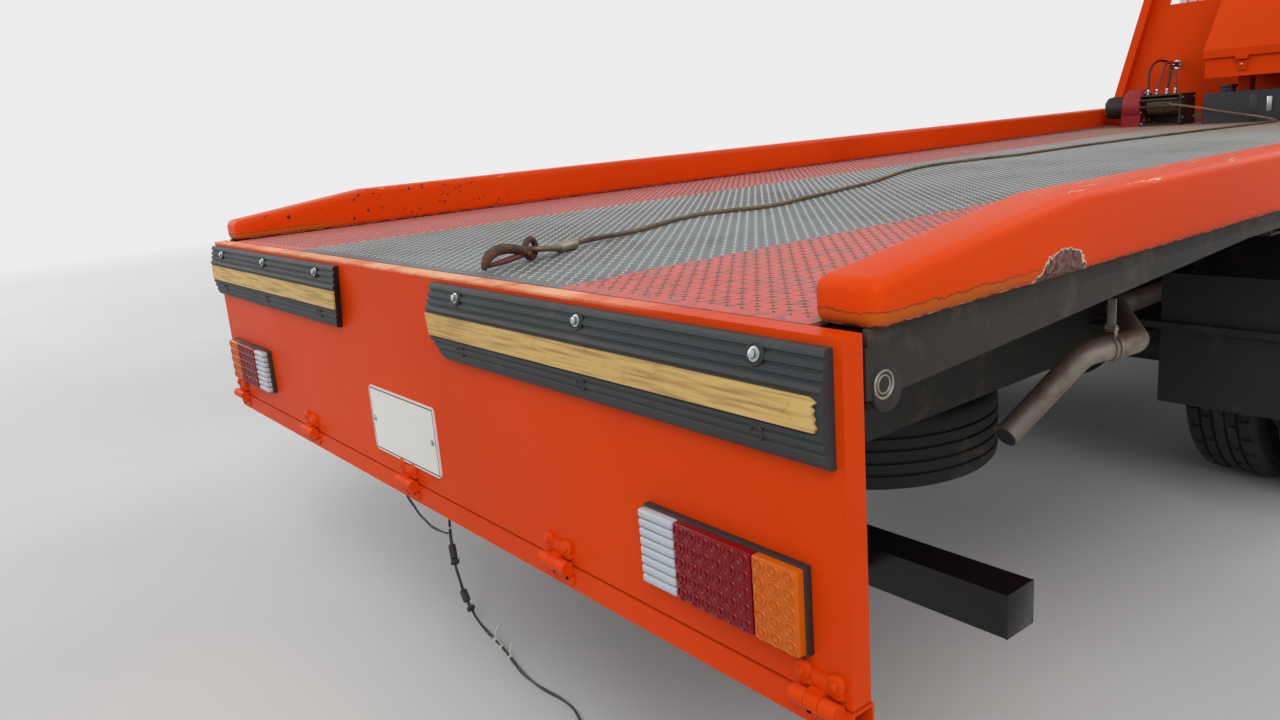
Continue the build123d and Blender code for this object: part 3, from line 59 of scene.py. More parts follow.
# The cab's planes and levels, in metres
cabFront = noseX - 0.097
cabHalf = 1.025
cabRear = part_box("cab_shell")[0].x
cabBottom = 0.72
cabFloor = cabBottom + 0.11
cabRoof = cabBottom + 1.54
screenLow = cabFloor + 0.55
screenHigh = cabRoof - 0.13
beltZ = cabFloor + 0.58
doorFront = noseX - 0.34
doorRear = doorFront - 0.915
doorHigh = cabRoof - 0.2


def onBed(x, y, z):
    # x forward of the tailboard's face, z above the deck, all in millimetres
    return Vector((tailX + x / 1000, y / 1000, deckTop + z / 1000))


# Camera where the truck was seen from: metres from the tailboard's top edge, turns in degrees
camera = {"place": (-0.816, -1.922, 0.249), "yaw": 52.58, "pitch": 13.62, "roll": -4.61,
          "focal": 973.7, "imageWide": 1280, "filmWide": 36, "clip": (0.02, 100)}
yaw, pitch, roll = (math.radians(camera[key]) for key in ("yaw", "pitch", "roll"))
look = Vector((math.cos(yaw) * math.cos(pitch), math.sin(yaw) * math.cos(pitch), -math.sin(pitch)))
flatRight = look.cross(Vector((0, 0, 1))).normalized()
flatUp = flatRight.cross(look)
camRight = flatRight * math.cos(roll) + flatUp * math.sin(roll)
camUp = flatUp * math.cos(roll) - flatRight * math.sin(roll)
lensData = bpy.data.cameras.new("photoCamera")
lensData.sensor_width = camera["filmWide"]
lensData.lens = camera["filmWide"] * camera["focal"] / camera["imageWide"]
lensData.clip_start, lensData.clip_end = camera["clip"]
cam = bpy.data.objects.new("photoCamera", lensData)
bpy.context.scene.collection.objects.link(cam)
turn = Matrix((camRight, camUp, -look)).transposed().to_4x4()
cam.matrix_world = Matrix.Translation(onBed(0, 0, 0) + Vector(camera["place"])) @ turn
bpy.context.scene.camera = cam
print("camera set")


# Materials

def linear(colour):
    # sRGB hex to linear
    parts = [int(colour[i:i + 2], 16) / 255 for i in (0, 2, 4)]
    return [p / 12.92 if p < 0.04045 else ((p + 0.055) / 1.055) ** 2.4 for p in parts] + [1]


def perMetre(size):
    # A noise's Scale, to two digits, from the size in millimetres of what it draws
    return float(f"{1000 / size:.2g}")


def waveScale(size):
    # A wave's Scale, to two digits, from the spacing of its bands in millimetres: at 1 it is pi / 10 m
    return float(f"{100 * math.pi / size:.2g}")


def addNode(tree, kind, inputs=None, links=None, stops=(), **settings):
    # One node with its settings, a ramp's stops, its plain inputs and its links from other nodes
    item = tree.nodes.new("ShaderNode" + kind)
    for key, value in settings.items():
        setattr(item, key, value)
    if stops:
        for element, (at, value) in zip(item.color_ramp.elements, stops):
            element.position = at
            element.color = linear(value) if isinstance(value, str) else (value, value, value, 1)
    for key, value in (inputs or {}).items():
        item.inputs[key].default_value = value
    for key, source in (links or {}).items():
        tree.links.new(source, item.inputs[key])
    return item


def startMaterial(name):
    material = bpy.data.materials.new(name)
    material.use_nodes = True
    tree = material.node_tree
    tree.nodes.clear()
    shader = addNode(tree, "BsdfPrincipled")
    addNode(tree, "OutputMaterial", links={"Surface": shader.outputs["BSDF"]})
    place = addNode(tree, "TexCoord").outputs["Object"]
    return material, tree, shader, place


def meeting(tree, *shares):
    # The share of the surface where all the shares meet
    whole = shares[0]
    for share in shares[1:]:
        whole = addNode(tree, "Math", links={0: whole, 1: share}, operation="MULTIPLY").outputs[0]
    return whole


def between(tree, value, axis, low, high, soft):
    # 1 between two planes given in millimetres as onBed has them, and 0 past their soft edges
    base = {"X": tailX, "Y": 0, "Z": deckTop}[axis]
    low, high, soft = base + low / 1000, base + high / 1000, soft / 1000
    rise = addNode(tree, "MapRange", {"From Min": low - soft, "From Max": low + soft}, {"Value": value})
    fall = addNode(tree, "MapRange",
                   {"From Min": high - soft, "From Max": high + soft, "To Min": 1, "To Max": 0},
                   {"Value": value})
    return meeting(tree, rise.outputs["Result"], fall.outputs["Result"])


def overlay(tree, shader, below, share, colour):
    # A hex colour, or another node's, over a share of what is there already
    inputs, links = {}, {"Fac": share, "Color1": below}
    if isinstance(colour, str):
        inputs["Color2"] = linear(colour)
    else:
        links["Color2"] = colour
    mixed = addNode(tree, "MixRGB", inputs, links).outputs["Color"]
    tree.links.new(mixed, shader.inputs["Base Color"])
    return mixed


# What a look has where it says nothing else. Patches of shade, blots of dirt and grain are in millimetres.
# Grain finer than about 1 mm can't be seen in a render of a whole truck, so it is drawn at 1.4 to 8 mm.
plainLook = {"patch": 625, "blot": 143, "grain": 2.4, "bump": 0.12, "dirtShare": 0.2, "dirtDepth": 0.6,
             "dust": 0, "dustColour": "9C9284", "metal": 0, "gloss": 0.5, "coat": 0}


def surface(name, changes):
    # Painted, cast or moulded surface: patches of shade, dirt in blots, dust where it faces up, fine grain
    look = {**plainLook, **changes}
    material, tree, shader, place = startMaterial(name)
    patches = addNode(tree, "TexNoise", {"Scale": perMetre(look["patch"]), "Detail": 6}, {"Vector": place})
    blots = addNode(tree, "TexNoise", {"Scale": perMetre(look["blot"]), "Detail": 9, "Roughness": 0.68,
                                       "Distortion": 0.4}, {"Vector": place}).outputs["Fac"]
    grain = addNode(tree, "TexNoise", {"Scale": perMetre(look["grain"]), "Detail": 3}, {"Vector": place})
    patchShare = addNode(tree, "ValToRGB", links={"Fac": patches.outputs["Fac"]},
                         stops=[(0.38, 0), (0.66, 1)])
    colour = addNode(tree, "MixRGB", {"Color1": linear(look["main"]), "Color2": linear(look["shade"])},
                     {"Fac": patchShare.outputs["Color"]}).outputs["Color"]
    start = 0.72 - look["dirtShare"] * 0.5   # where more dirt is wanted, fainter blots count too
    dirtStops = [(start, 0), (start + 0.16, look["dirtDepth"])]
    dirtShare = addNode(tree, "ValToRGB", links={"Fac": blots}, stops=dirtStops).outputs["Color"]
    colour = overlay(tree, shader, colour, dirtShare, look["dirt"])
    if look["dust"]:
        facing = addNode(tree, "NewGeometry").outputs["Normal"]
        up = addNode(tree, "SeparateXYZ", links={"Vector": facing}).outputs["Z"]
        level = addNode(tree, "ValToRGB", links={"Fac": up}, stops=[(0.25, 0), (0.95, look["dust"])])
        dustShare = meeting(tree, level.outputs["Color"], blots)
        colour = overlay(tree, shader, colour, dustShare, look["dustColour"])
    smooth, dull = look["rough"] * 0.8, min(1.0, look["rough"] * 1.35)
    rough = addNode(tree, "MapRange", {"To Min": smooth, "To Max": dull}, {"Value": blots})
    tree.links.new(rough.outputs["Result"], shader.inputs["Roughness"])
    bump = addNode(tree, "Bump", {"Strength": look["bump"], "Distance": 0.0006},
                   {"Height": grain.outputs["Fac"]})
    tree.links.new(bump.outputs["Normal"], shader.inputs["Normal"])
    shader.inputs["Metallic"].default_value = look["metal"]
    shader.inputs["Specular IOR Level"].default_value = look["gloss"]
    shader.inputs["Coat Weight"].default_value = look["coat"]
    shader.inputs["Coat Roughness"].default_value = 0.12
    return material, tree, shader, place, colour


# Synthetic enamel sprayed over steel: even colour, faint orange peel of 6 mm, a soft gloss and road dust
orangeLook = {"main": "DA4206", "shade": "CF3C04", "dirt": "A8330A", "rough": 0.36, "dirtShare": 0.08,
              "dirtDepth": 0.35, "dust": 0.18, "dustColour": "E07040", "grain": 6.25, "bump": 0.05,
              "gloss": 0.06}

# Wear of the side rails, in millimetres on the bed
railWear = {"footLong": 360, "footHigh": 20, "lineHigh": 21.2, "edgeHigh": 3.5, "paleHigh": 5.5,
            "flakes": 26.3, "chip": (441, -1241, 2), "chipRim": 36.5, "chipSteel": 34.25, "scale": 8.33,
            "streak": (83.3, 8.33, 8.33)}


def railEnamel():
    # Old orange enamel: rust shows along the rear end's foot, and one deep chip goes down to the steel
    material, tree, shader, place, colour = surface("sprayedOrangeEnamelChipped", orangeLook)
    axes = addNode(tree, "SeparateXYZ", links={"Vector": place}).outputs
    ragged = addNode(tree, "TexNoise",
                     {"Scale": perMetre(railWear["flakes"]), "Detail": 7, "Roughness": 0.72},
                     {"Vector": place}).outputs["Fac"]
    # ochre foot of the rear end under a broken dark line, and a worn lower edge
    calm = addNode(tree, "MapRange", {"To Min": -0.010, "To Max": 0.010}, {"Value": ragged})
    height = addNode(tree, "Math", links={0: axes["Z"], 1: calm.outputs["Result"]},
                     operation="ADD").outputs[0]
    rear = between(tree, axes["X"], "X", 0, railWear["footLong"], 60)
    foot = between(tree, height, "Z", -100, railWear["footHigh"], 4)
    colour = overlay(tree, shader, colour, meeting(tree, foot, rear), "B9581B")
    line = between(tree, height, "Z", railWear["footHigh"] - 0.5, railWear["lineHigh"], 0.6)
    colour = overlay(tree, shader, colour, meeting(tree, line, rear), "6E3A1E")
    edge = between(tree, height, "Z", -100, railWear["edgeHigh"], 0.6)
    colour = overlay(tree, shader, colour, edge, "5E3226")
    pale = between(tree, height, "Z", railWear["edgeHigh"], railWear["paleHigh"], 0.5)
    broken = addNode(tree, "ValToRGB", links={"Fac": ragged},
                     stops=[(0.50, 0), (0.54, 0.8)]).outputs["Color"]
    colour = overlay(tree, shader, colour, meeting(tree, pale, broken), "E9A98A")
    # one chip on the right rail's lower edge, with a pale broken rim and a rusty middle
    centre = onBed(*railWear["chip"])
    aside = addNode(tree, "VectorMath", {1: tuple(-centre)}, {0: place}, operation="ADD").outputs[0]
    squeezed = addNode(tree, "VectorMath", {1: (0.52, 0.3, 1.0)}, {0: aside},
                       operation="MULTIPLY").outputs[0]
    reach = addNode(tree, "VectorMath", links={0: squeezed}, operation="LENGTH").outputs["Value"]
    offset = addNode(tree, "MapRange", {"To Min": -0.022, "To Max": 0.022},
                     {"Value": ragged}).outputs["Result"]
    uneven = addNode(tree, "Math", links={0: reach, 1: offset}, operation="ADD").outputs[0]
    rim = between(tree, uneven, "Y", -1000, railWear["chipRim"], 0.3)
    colour = overlay(tree, shader, colour, rim, "DCC7AE")
    scale = addNode(tree, "TexNoise", {"Scale": perMetre(railWear["scale"]), "Detail": 6, "Roughness": 0.7},
                    {"Vector": place}).outputs["Fac"]
    bare = addNode(tree, "ValToRGB", links={"Fac": scale}, stops=[(0.42, "4E302A"), (0.58, "84645A")])
    middle = between(tree, uneven, "Y", -1000, railWear["chipSteel"], 0.75)
    colour = overlay(tree, shader, colour, middle, bare.outputs["Color"])
    # scuffs along the top, in front of the slope, and dark chips inside the left rail
    streaks = addNode(tree, "VectorMath", {1: [perMetre(size) for size in railWear["streak"]]}, {0: place},
                      operation="MULTIPLY").outputs[0]
    scratch = addNode(tree, "TexNoise", {"Scale": 1, "Detail": 8, "Roughness": 0.7}, {"Vector": streaks})
    marks = addNode(tree, "ValToRGB", links={"Fac": scratch.outputs["Fac"]}, stops=[(0.60, 0), (0.64, 1)])
    top = between(tree, axes["Z"], "Z", 105, 120, 4)
    slope = between(tree, axes["X"], "X", 400, 1100, 100)
    colour = overlay(tree, shader, colour, meeting(tree, marks.outputs["Color"], top, slope), "E6C9A2")
    chips = addNode(tree, "ValToRGB", links={"Fac": ragged}, stops=[(0.60, 0), (0.62, 1)]).outputs["Color"]
    inside = between(tree, axes["Y"], "Y", 1130, 1150, 3)
    rear = between(tree, axes["X"], "X", 0, 1000, 100)
    overlay(tree, shader, colour, meeting(tree, chips, inside, rear), "3A2A26")
    return material


def boardEnamel():
    # The same enamel on the tailboard, pale along its top edge: rubbed by what is dragged over it, and a
    # painted highlight where the edge catches the light
    material, tree, shader, place, colour = surface("sprayedOrangeEnamelBoard", {**orangeLook, "dust": 0})
    axes = addNode(tree, "SeparateXYZ", links={"Vector": place}).outputs
    edgeWearAndHighlightNoise = addNode(tree, "TexNoise", {"Scale": perMetre(111), "Detail": 8, "Roughness": 0.7},
                   {"Vector": place})
    edgeWearAndHighlight = addNode(tree, "ValToRGB", links={"Fac": edgeWearAndHighlightNoise.outputs["Fac"]}, stops=[(0.36, 0.15), (0.56, 0.85)])
    edge = between(tree, axes["Z"], "Z", -4, 10, 2)
    left = between(tree, axes["Y"], "Y", -800, 1300, 120)
    # pale over the top edge: partly rubbed paint, partly a painted highlight
    overlay(tree, shader, colour, meeting(tree, edge, edgeWearAndHighlight.outputs["Color"], left), "F0B487")
    return material


treadLook = {"main": "6E7271", "shade": "5C5F5E", "dirt": "4E463D", "rough": 0.6, "metal": 0.15,
             "patch": 909,
             "blot": 385, "dirtShare": 0.46, "dirtDepth": 0.75, "grain": 1.43, "bump": 0.1}
treadWear = {"painted": 600, "red": "CE6459", "redLugs": "544D49", "polished": "CDCDC8", "brownFrom": 4300,
             "brown": "8E7660"}


def treadMetal():
    # Hot rolled tread plate: grey, trodden bright in the middle, worn red paint along both sides
    material, tree, shader, place, colour = surface("rolledTreadPlate", treadLook)
    axes = addNode(tree, "SeparateXYZ", links={"Vector": place}).outputs
    ragged = addNode(tree, "TexNoise", {"Scale": perMetre(200), "Detail": 8, "Roughness": 0.65},
                     {"Vector": place}).outputs["Fac"]
    offset = addNode(tree, "MapRange", {"To Min": -0.035, "To Max": 0.035},
                     {"Value": ragged}).outputs["Result"]
    away = addNode(tree, "Math", links={0: axes["Y"]}, operation="ABSOLUTE").outputs[0]
    side = addNode(tree, "Math", links={0: away, 1: offset}, operation="ADD").outputs[0]
    band = between(tree, side, "Y", treadWear["painted"], 1300, 8)
    fine = addNode(tree, "TexNoise", {"Scale": perMetre(29.4), "Detail": 8, "Roughness": 0.75},
                   {"Vector": place})
    left = addNode(tree, "ValToRGB", links={"Fac": fine.outputs["Fac"]}, stops=[(0.38, 0.25), (0.50, 0.96)])
    colour = overlay(tree, shader, colour, meeting(tree, band, left.outputs["Color"]), treadWear["red"])
    crown = between(tree, axes["Z"], "Z", 0.4, 10, 0.1)
    colour = overlay(tree, shader, colour, meeting(tree, crown, band), treadWear["redLugs"])
    plain = addNode(tree, "Math", {0: 1.0}, {1: band}, operation="SUBTRACT").outputs[0]
    trodden = addNode(tree, "Math", {1: 0.8}, {0: meeting(tree, crown, plain)},
                      operation="MULTIPLY").outputs[0]
    colour = overlay(tree, shader, colour, trodden, treadWear["polished"])
    front = between(tree, axes["X"], "X", treadWear["brownFrom"], 6000, 500)
    patchy = addNode(tree, "ValToRGB", links={"Fac": ragged},
                     stops=[(0.3, 0.4), (0.6, 0.9)]).outputs["Color"]
    overlay(tree, shader, colour, meeting(tree, front, patchy), treadWear["brown"])
    return material


def zonedPaint(name, look, zones):
    # One surface whose colour changes across the bed: zones are (from, to, hex)
    material, tree, shader, place, colour = surface(name, look)
    across = addNode(tree, "SeparateXYZ", links={"Vector": place}).outputs["Y"]
    for low, high, tint in zones:
        colour = overlay(tree, shader, colour, between(tree, across, "Y", low, high, 0.8), tint)
    return material


def lens(name, tint):
    # Moulded acrylic lens: one full colour and a smooth face, so that each flute or ring takes a small glint
    return surface(name, {"main": tint, "shade": tint, "dirt": "4A3028", "rough": 0.2, "dirtShare": 0.05,
                          "dirtDepth": 0.3, "grain": 3.3, "bump": 0.03, "gloss": 0.25})[0]


def glassPane():
    # Toughened window glass: clear, faintly green, with a film of dirt that dulls it in clouds
    material, tree, shader, place = startMaterial("toughenedWindowGlass")
    shader.inputs["Base Color"].default_value = linear("D6E2DC")
    shader.inputs["Transmission Weight"].default_value = 1.0
    shader.inputs["IOR"].default_value = 1.45
    smears = addNode(tree, "TexNoise", {"Scale": perMetre(333), "Detail": 5},
                     {"Vector": place}).outputs["Fac"]
    film = addNode(tree, "MapRange", {"To Min": 0.0, "To Max": 0.12}, {"Value": smears})
    tree.links.new(film.outputs["Result"], shader.inputs["Roughness"])
    return material


def wovenFabric():
    # Woven polyester seat cloth: dull, with 2 mm threads that cross and a soft sheen at its edges
    material, tree, shader, place, colour = surface("wovenSeatCloth", {
        "main": "3C4046", "shade": "33363B", "dirt": "4C4740", "rough": 0.9, "grain": 2, "bump": 0.2})
    threads = {"Scale": waveScale(1.96)}
    across = addNode(tree, "TexWave", threads, {"Vector": place}, bands_direction="Y").outputs["Fac"]
    along = addNode(tree, "TexWave", threads, {"Vector": place}, bands_direction="X").outputs["Fac"]
    weave = addNode(tree, "Math", links={0: across, 1: along}, operation="MAXIMUM")
    bump = addNode(tree, "Bump", {"Strength": 0.12, "Distance": 0.0008}, {"Height": weave.outputs[0]})
    tree.links.new(bump.outputs["Normal"], shader.inputs["Normal"])
    shader.inputs["Sheen Weight"].default_value = 0.3
    return material


def borderedPlate():
    # Pressed aluminium plate under white reflective film, with a black line round its edge
    material, tree, shader, place, colour = surface("whitePressedPlateBordered", looks["whitePressedPlate"])
    low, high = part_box("number_plate")
    half = (high - low) / 2
    away = addNode(tree, "VectorMath", {1: tuple(-middleOf("number_plate"))}, {0: place}, operation="ADD")
    away = addNode(tree, "VectorMath", links={0: away.outputs[0]}, operation="ABSOLUTE").outputs[0]
    axes = addNode(tree, "SeparateXYZ", links={"Vector": away}).outputs
    across = addNode(tree, "Math", {0: half.y}, {1: axes["Y"]}, operation="SUBTRACT").outputs[0]
    over = addNode(tree, "Math", {0: half.z}, {1: axes["Z"]}, operation="SUBTRACT").outputs[0]
    inset = addNode(tree, "Math", links={0: across, 1: over}, operation="MINIMUM").outputs[0]
    overlay(tree, shader, colour, between(tree, inset, "Y", 3.5, 6.5, 0.4), "1E2022")
    return material


def woodBand():
    # Varnished softwood rubbing strip: its grain runs along it, brown where the varnish has gone
    material, tree, shader, place, colour = surface("varnishedSoftwood", {
        "main": "D2B06A", "shade": "C49E58", "dirt": "94703C", "rough": 0.55, "dirtShare": 0.3,
        "blot": 29.4, "grain": 3.3, "bump": 0.15})
    fibre = [perMetre(size) for size in (6.25, 143, 6.25)]
    stretched = addNode(tree, "VectorMath", {1: fibre}, {0: place}, operation="MULTIPLY").outputs[0]
    grain = addNode(tree, "TexNoise", {"Scale": 1, "Detail": 5}, {"Vector": stretched}).outputs["Fac"]
    lines = addNode(tree, "ValToRGB", links={"Fac": grain}, stops=[(0.45, 0), (0.66, 0.75)]).outputs["Color"]
    overlay(tree, shader, colour, lines, "8F6C38")
    return material


def springLeaves():
    # Forged spring steel: black scale, rusty at the edges, with painted shade in dark lines between leaves
    # about 12 mm thick
    material, tree, shader, place, colour = surface("forgedSpringSteel", {
        "main": "2E2A27", "shade": "3A322C", "dirt": "5C4030", "rough": 0.7, "metal": 0.4, "dirtShare": 0.4})
    lines = addNode(tree, "TexWave", {"Scale": waveScale(12.08)}, {"Vector": place}, bands_direction="Z")
    # near-black lines: painted shade in the gaps between the leaves
    leafGapShade = addNode(tree, "ValToRGB", links={"Fac": lines.outputs["Fac"]}, stops=[(0.08, 1), (0.16, 0)])
    overlay(tree, shader, colour, leafGapShade.outputs["Color"], "0C0B0A")
    return material


looks = {
    # sprayed chassis paint: dull black-brown, dirty in blots, dust on whatever faces up
    "chassisPaint": {"main": "24241F", "shade": "2C2B27", "dirt": "54493C", "rough": 0.6, "dirtShare": 0.4,
                     "dust": 0.8, "dustColour": "6E6252"},
    # the orange of the bed's plain panels
    "orangeEnamel": orangeLook,
    # stoved cab enamel: a clean white with a clear, sharp gloss
    "whiteCabEnamel": {"main": "DADBD7", "shade": "D2D3CE", "dirt": "B3AA9A", "rough": 0.28,
                       "dirtShare": 0.12,
                       "dirtDepth": 0.4, "dust": 0.35, "grain": 7.1, "bump": 0.04, "coat": 0.35},
    # brushed black paint on tank and cylinders: half dull, dusty on top
    "brushedBlackPaint": {"main": "1E2023", "shade": "26282B", "dirt": "4A4640", "rough": 0.45, "dust": 0.6},
    # powder coat of the underrun: near black, with broad soft highlights
    "glossPowderCoat": {"main": "08080A", "shade": "0C0C0E", "dirt": "26231F", "rough": 0.22,
                        "dirtShare": 0.1,
                        "gloss": 0.3, "grain": 8.3},
    # brushed brown-black of the sills, with dried mud in small blots
    "sillPaint": {"main": "2D2825", "shade": "23201E", "dirt": "5E4E42", "rough": 0.55, "dirtShare": 0.4,
                  "blot": 111, "gloss": 0.3},
    # silver wheel paint: pale and half dull, browned by brake dust
    "silverWheelPaint": {"main": "A3A39D", "shade": "94938C", "dirt": "6A5540", "rough": 0.5,
                         "dirtShare": 0.35,
                         "blot": 62.5},
    # grey paint with metal flake on the fuel tank
    "greyTankPaint": {"main": "5A5D60", "shade": "505356", "dirt": "6E6455", "rough": 0.45, "metal": 0.3,
                      "dust": 0.6},
    # zinc plated bolts: bright and blue-grey
    "zincPlatedSteel": {"main": "B9BCBE", "shade": "A5A8AA", "dirt": "7A7268", "rough": 0.3, "metal": 1.0},
    # sand cast iron of the engine: dark, granular and matt
    "castIron": {"main": "5A5856", "shade": "4C4A48", "dirt": "4A3A2E", "rough": 0.65, "metal": 0.7},
    # bent exhaust tube: grey-brown heat scale with rust in patches of 80 mm
    "scaledExhaustSteel": {"main": "A39C90", "shade": "8B8276", "dirt": "70503A", "rough": 0.5,
                           "metal": 0.75,
                           "dirtShare": 0.45, "blot": 83.3},
    # extruded aluminium of the side guards: pale and satin
    "extrudedAluminium": {"main": "A9ABAD", "shade": "9B9D9F", "dirt": "716A60", "rough": 0.38, "metal": 0.9,
                          "dust": 0.5},
    # hard chromed rods and reflectors: mirror bright
    "hardChrome": {"main": "C9CACC", "shade": "C0C1C3", "dirt": "8A8480", "rough": 0.12, "metal": 1.0,
                   "dirtShare": 0.05},
    # drop forged hook: pitted brown rust in blots of 25 mm
    "forgedRustySteel": {"main": "5C4638", "shade": "4A382E", "dirt": "7E5236", "rough": 0.68, "metal": 0.45,
                         "dirtShare": 0.5, "blot": 25, "grain": 1.43, "bump": 0.4},
    # drawn rope wire: bare steel browned by rust and old grease
    "drawnRopeWire": {"main": "8A765C", "shade": "6E5C46", "dirt": "4A3A2C", "rough": 0.5, "metal": 0.6,
                      "dirtShare": 0.45, "blot": 45.5},
    # pressed aluminium ferrule: dull and yellowish grey
    "pressedAluminium": {"main": "A8A396", "shade": "938D80", "dirt": "6E6558", "rough": 0.42, "metal": 0.8},
    # cast steel of the winch under old grease: nearly black, half wet, brown where dust has stuck
    "greasedCastSteel": {"main": "25211E", "shade": "322B26", "dirt": "50402F", "rough": 0.5, "metal": 0.3,
                         "dirtShare": 0.5, "blot": 50},
    # vulcanised tyre rubber: matt, greyed by dried mud in patches of 200 mm
    "vulcanisedRubber": {"main": "1E1E1F", "shade": "272625", "dirt": "5A5248", "rough": 0.8,
                         "dirtShare": 0.35,
                         "blot": 200, "grain": 1.67, "bump": 0.25},
    # extruded bumper rubber: blue-black and satin, with pale dust on its ribs
    "extrudedRubber": {"main": "23272A", "shade": "2B2F32", "dirt": "55534E", "rough": 0.58,
                       "dirtShare": 0.3,
                       "blot": 83.3, "dust": 0.3, "dustColour": "5B5A56", "grain": 2, "bump": 0.3},
    # sheet rubber of flaps and seals: even and matt
    "sheetRubber": {"main": "1B1D20", "shade": "232528", "dirt": "4A463F", "rough": 0.6, "dirtShare": 0.3},
    # hose rubber: black with a low sheen
    "hoseRubber": {"main": "1C1B1B", "shade": "262423", "dirt": "4A3C32", "rough": 0.55},
    # red covered hose: faded to brick and oily in blots
    "redHoseRubber": {"main": "7A3A2C", "shade": "6A3226", "dirt": "3E2A22", "rough": 0.55,
                      "dirtShare": 0.4},
    # PVC conduit round the loom: grey and dusty
    "corrugatedConduit": {"main": "3A3E43", "shade": "2C2F33", "dirt": "6E6C66", "rough": 0.6,
                          "dirtShare": 0.35,
                      "blot": 33.3},
    # moulded black ABS: fine leather grain, dusty on top
    "mouldedAbs": {"main": "1D1E20", "shade": "242527", "dirt": "45423D", "rough": 0.5, "grain": 1.54,
                   "bump": 0.3, "dust": 0.4},
    # moulded dashboard foam skin: dark grey, grained and without shine
    "dashSkin": {"main": "3A3B3D", "shade": "343537", "dirt": "4C4A46", "rough": 0.62, "grain": 1.43,
                 "bump": 0.35},
    # white film on pressed aluminium: clean and smooth
    "whitePressedPlate": {"main": "DEDDD6", "shade": "D4D3CB", "dirt": "A8A296", "rough": 0.35,
                          "dirtShare": 0.15},
    # beige paint of the winch's motor cover: chalky, with oily dirt
    "beigeMotorPaint": {"main": "B3A58C", "shade": "A2947C", "dirt": "6A5A48", "rough": 0.5,
                        "dirtShare": 0.4},
    # silvered mirror glass: a clear image with little dirt
    "silveredGlass": {"main": "D0D4D6", "shade": "CCD0D2", "dirt": "A0A09A", "rough": 0.05, "metal": 1.0,
                      "dirtShare": 0.05},
}
finish = {name: surface(name, look)[0] for name, look in looks.items()}
finish["rail"] = railEnamel()
finish["board"] = boardEnamel()
finish["tread"] = treadMetal()
finish["glass"] = glassPane()
finish["cloth"] = wovenFabric()
finish["plate"] = borderedPlate()
finish["wood"] = woodBand()
finish["leaves"] = springLeaves()
finish["redLens"] = lens("redAcrylicLens", "7A0610")
finish["amberLens"] = lens("amberAcrylicLens", "C45C08")
finish["whiteLens"] = lens("whiteFlutedLens", "B2B8BE")
finish["lampGlass"] = lens("clearLampLens", "CDD3D8")
winchZones = [(870, 1000, "8A1C1E"), (980, 1200, "2A2522")]   # the red gear case, the dark motor
finish["winch"] = zonedPaint("winchPaint", looks["greasedCastSteel"], winchZones)
print("materials made:", len(finish))

# The solids that stay as they are take a finish
kept = {
    "chassisPaint": ["chassis_frame", "front_axle", "rear_axle", "knuckle_left", "knuckle_right",
                     "tilt_frame",
                     "bed_beams"],
    "leaves": ["leaf_springs"], "castIron": ["engine_block"], "greyTankPaint": ["fuel_tank"],
    "mouldedAbs": ["battery_box", "mirrors", "cab_steps", "grille"], "extrudedAluminium": ["side_guards"],
    "scaledExhaustSteel": ["exhaust"], "sheetRubber": ["rear_mudguards"],
    "whiteCabEnamel": ["front_bumper", "cab_shell", "door_left", "door_right"],
    "silverWheelPaint": ["rim_front_left", "rim_front_right", "rims_rear_left", "rims_rear_right"],
    "brushedBlackPaint": ["tilt_barrels", "oil_tank"], "hardChrome": ["tilt_rods"], "tread": ["bed_deck"],
    "sillPaint": ["side_sills"], "orangeEnamel": ["headboard", "toolbox", "toolbox_lid", "lower_rail"],
    "board": ["tailboard"], "winch": ["winch"], "greasedCastSteel": ["winch_drum"],
    "glossPowderCoat": ["underrun_frame"], "glass": ["cab_glass", "door_glass_left", "door_glass_right"],
    "dashSkin": ["dashboard", "steering_wheel"], "lampGlass": ["headlamps"], "amberLens": ["light_bar"],
    "plate": ["number_plate"],
}
for key, names in kept.items():
    for name in names:
        nodes[name].data.materials.clear()
        nodes[name].data.materials.append(finish[key])
print("solids dressed")


# Modelling steps that the pieces share

def clearSelection():
    bpy.ops.object.select_all(action="DESELECT")


def pick(*parts):
    # Only these parts are selected, and the first one is active
    clearSelection()
    for part in parts:
        part.select_set(True)
    bpy.context.view_layer.objects.active = parts[0]


def editAll():
    bpy.ops.object.mode_set(mode="EDIT")
    bpy.ops.mesh.select_all(action="SELECT")


def leaveEdit():
    bpy.ops.object.mode_set(mode="OBJECT")


def settle(part, edge=0.0, segments=2):
    # Applies the place and size, and rounds the edges
    bpy.context.view_layer.objects.active = part
    part.select_set(True)
    bpy.ops.object.transform_apply(location=True, rotation=True, scale=True)
    if edge:
        rounding = part.modifiers.new("roundedEdges", "BEVEL")
        rounding.width, rounding.segments, rounding.limit_method = edge, segments, "ANGLE"
        bpy.ops.object.modifier_apply(modifier=rounding.name)
    return part


def slab(low, high, edge=0.001, segments=2):
    clearSelection()
    low, high = Vector(low), Vector(high)
    bpy.ops.mesh.primitive_cube_add(size=1, location=(low + high) / 2)
    bpy.context.object.scale = [abs(side) for side in high - low]
    return settle(bpy.context.object, edge, segments)


def disc(centre, way, radius, depth, sides=24, edge=0.0008):
    # A round or six-sided piece whose axis points along way
    clearSelection()
    bpy.ops.mesh.primitive_cylinder_add(vertices=sides, radius=radius, depth=depth, location=centre)
    bpy.context.object.rotation_euler = Vector(way).to_track_quat("Z", "Y").to_euler()
    return settle(bpy.context.object, edge)


def ringAt(centre, way, radius, thick, sides=32, round=8):
    clearSelection()
    bpy.ops.mesh.primitive_torus_add(major_radius=radius, minor_radius=thick, major_segments=sides,
                                     minor_segments=round, location=centre)
    bpy.context.object.rotation_euler = Vector(way).to_track_quat("Z", "Y").to_euler()
    return settle(bpy.context.object)


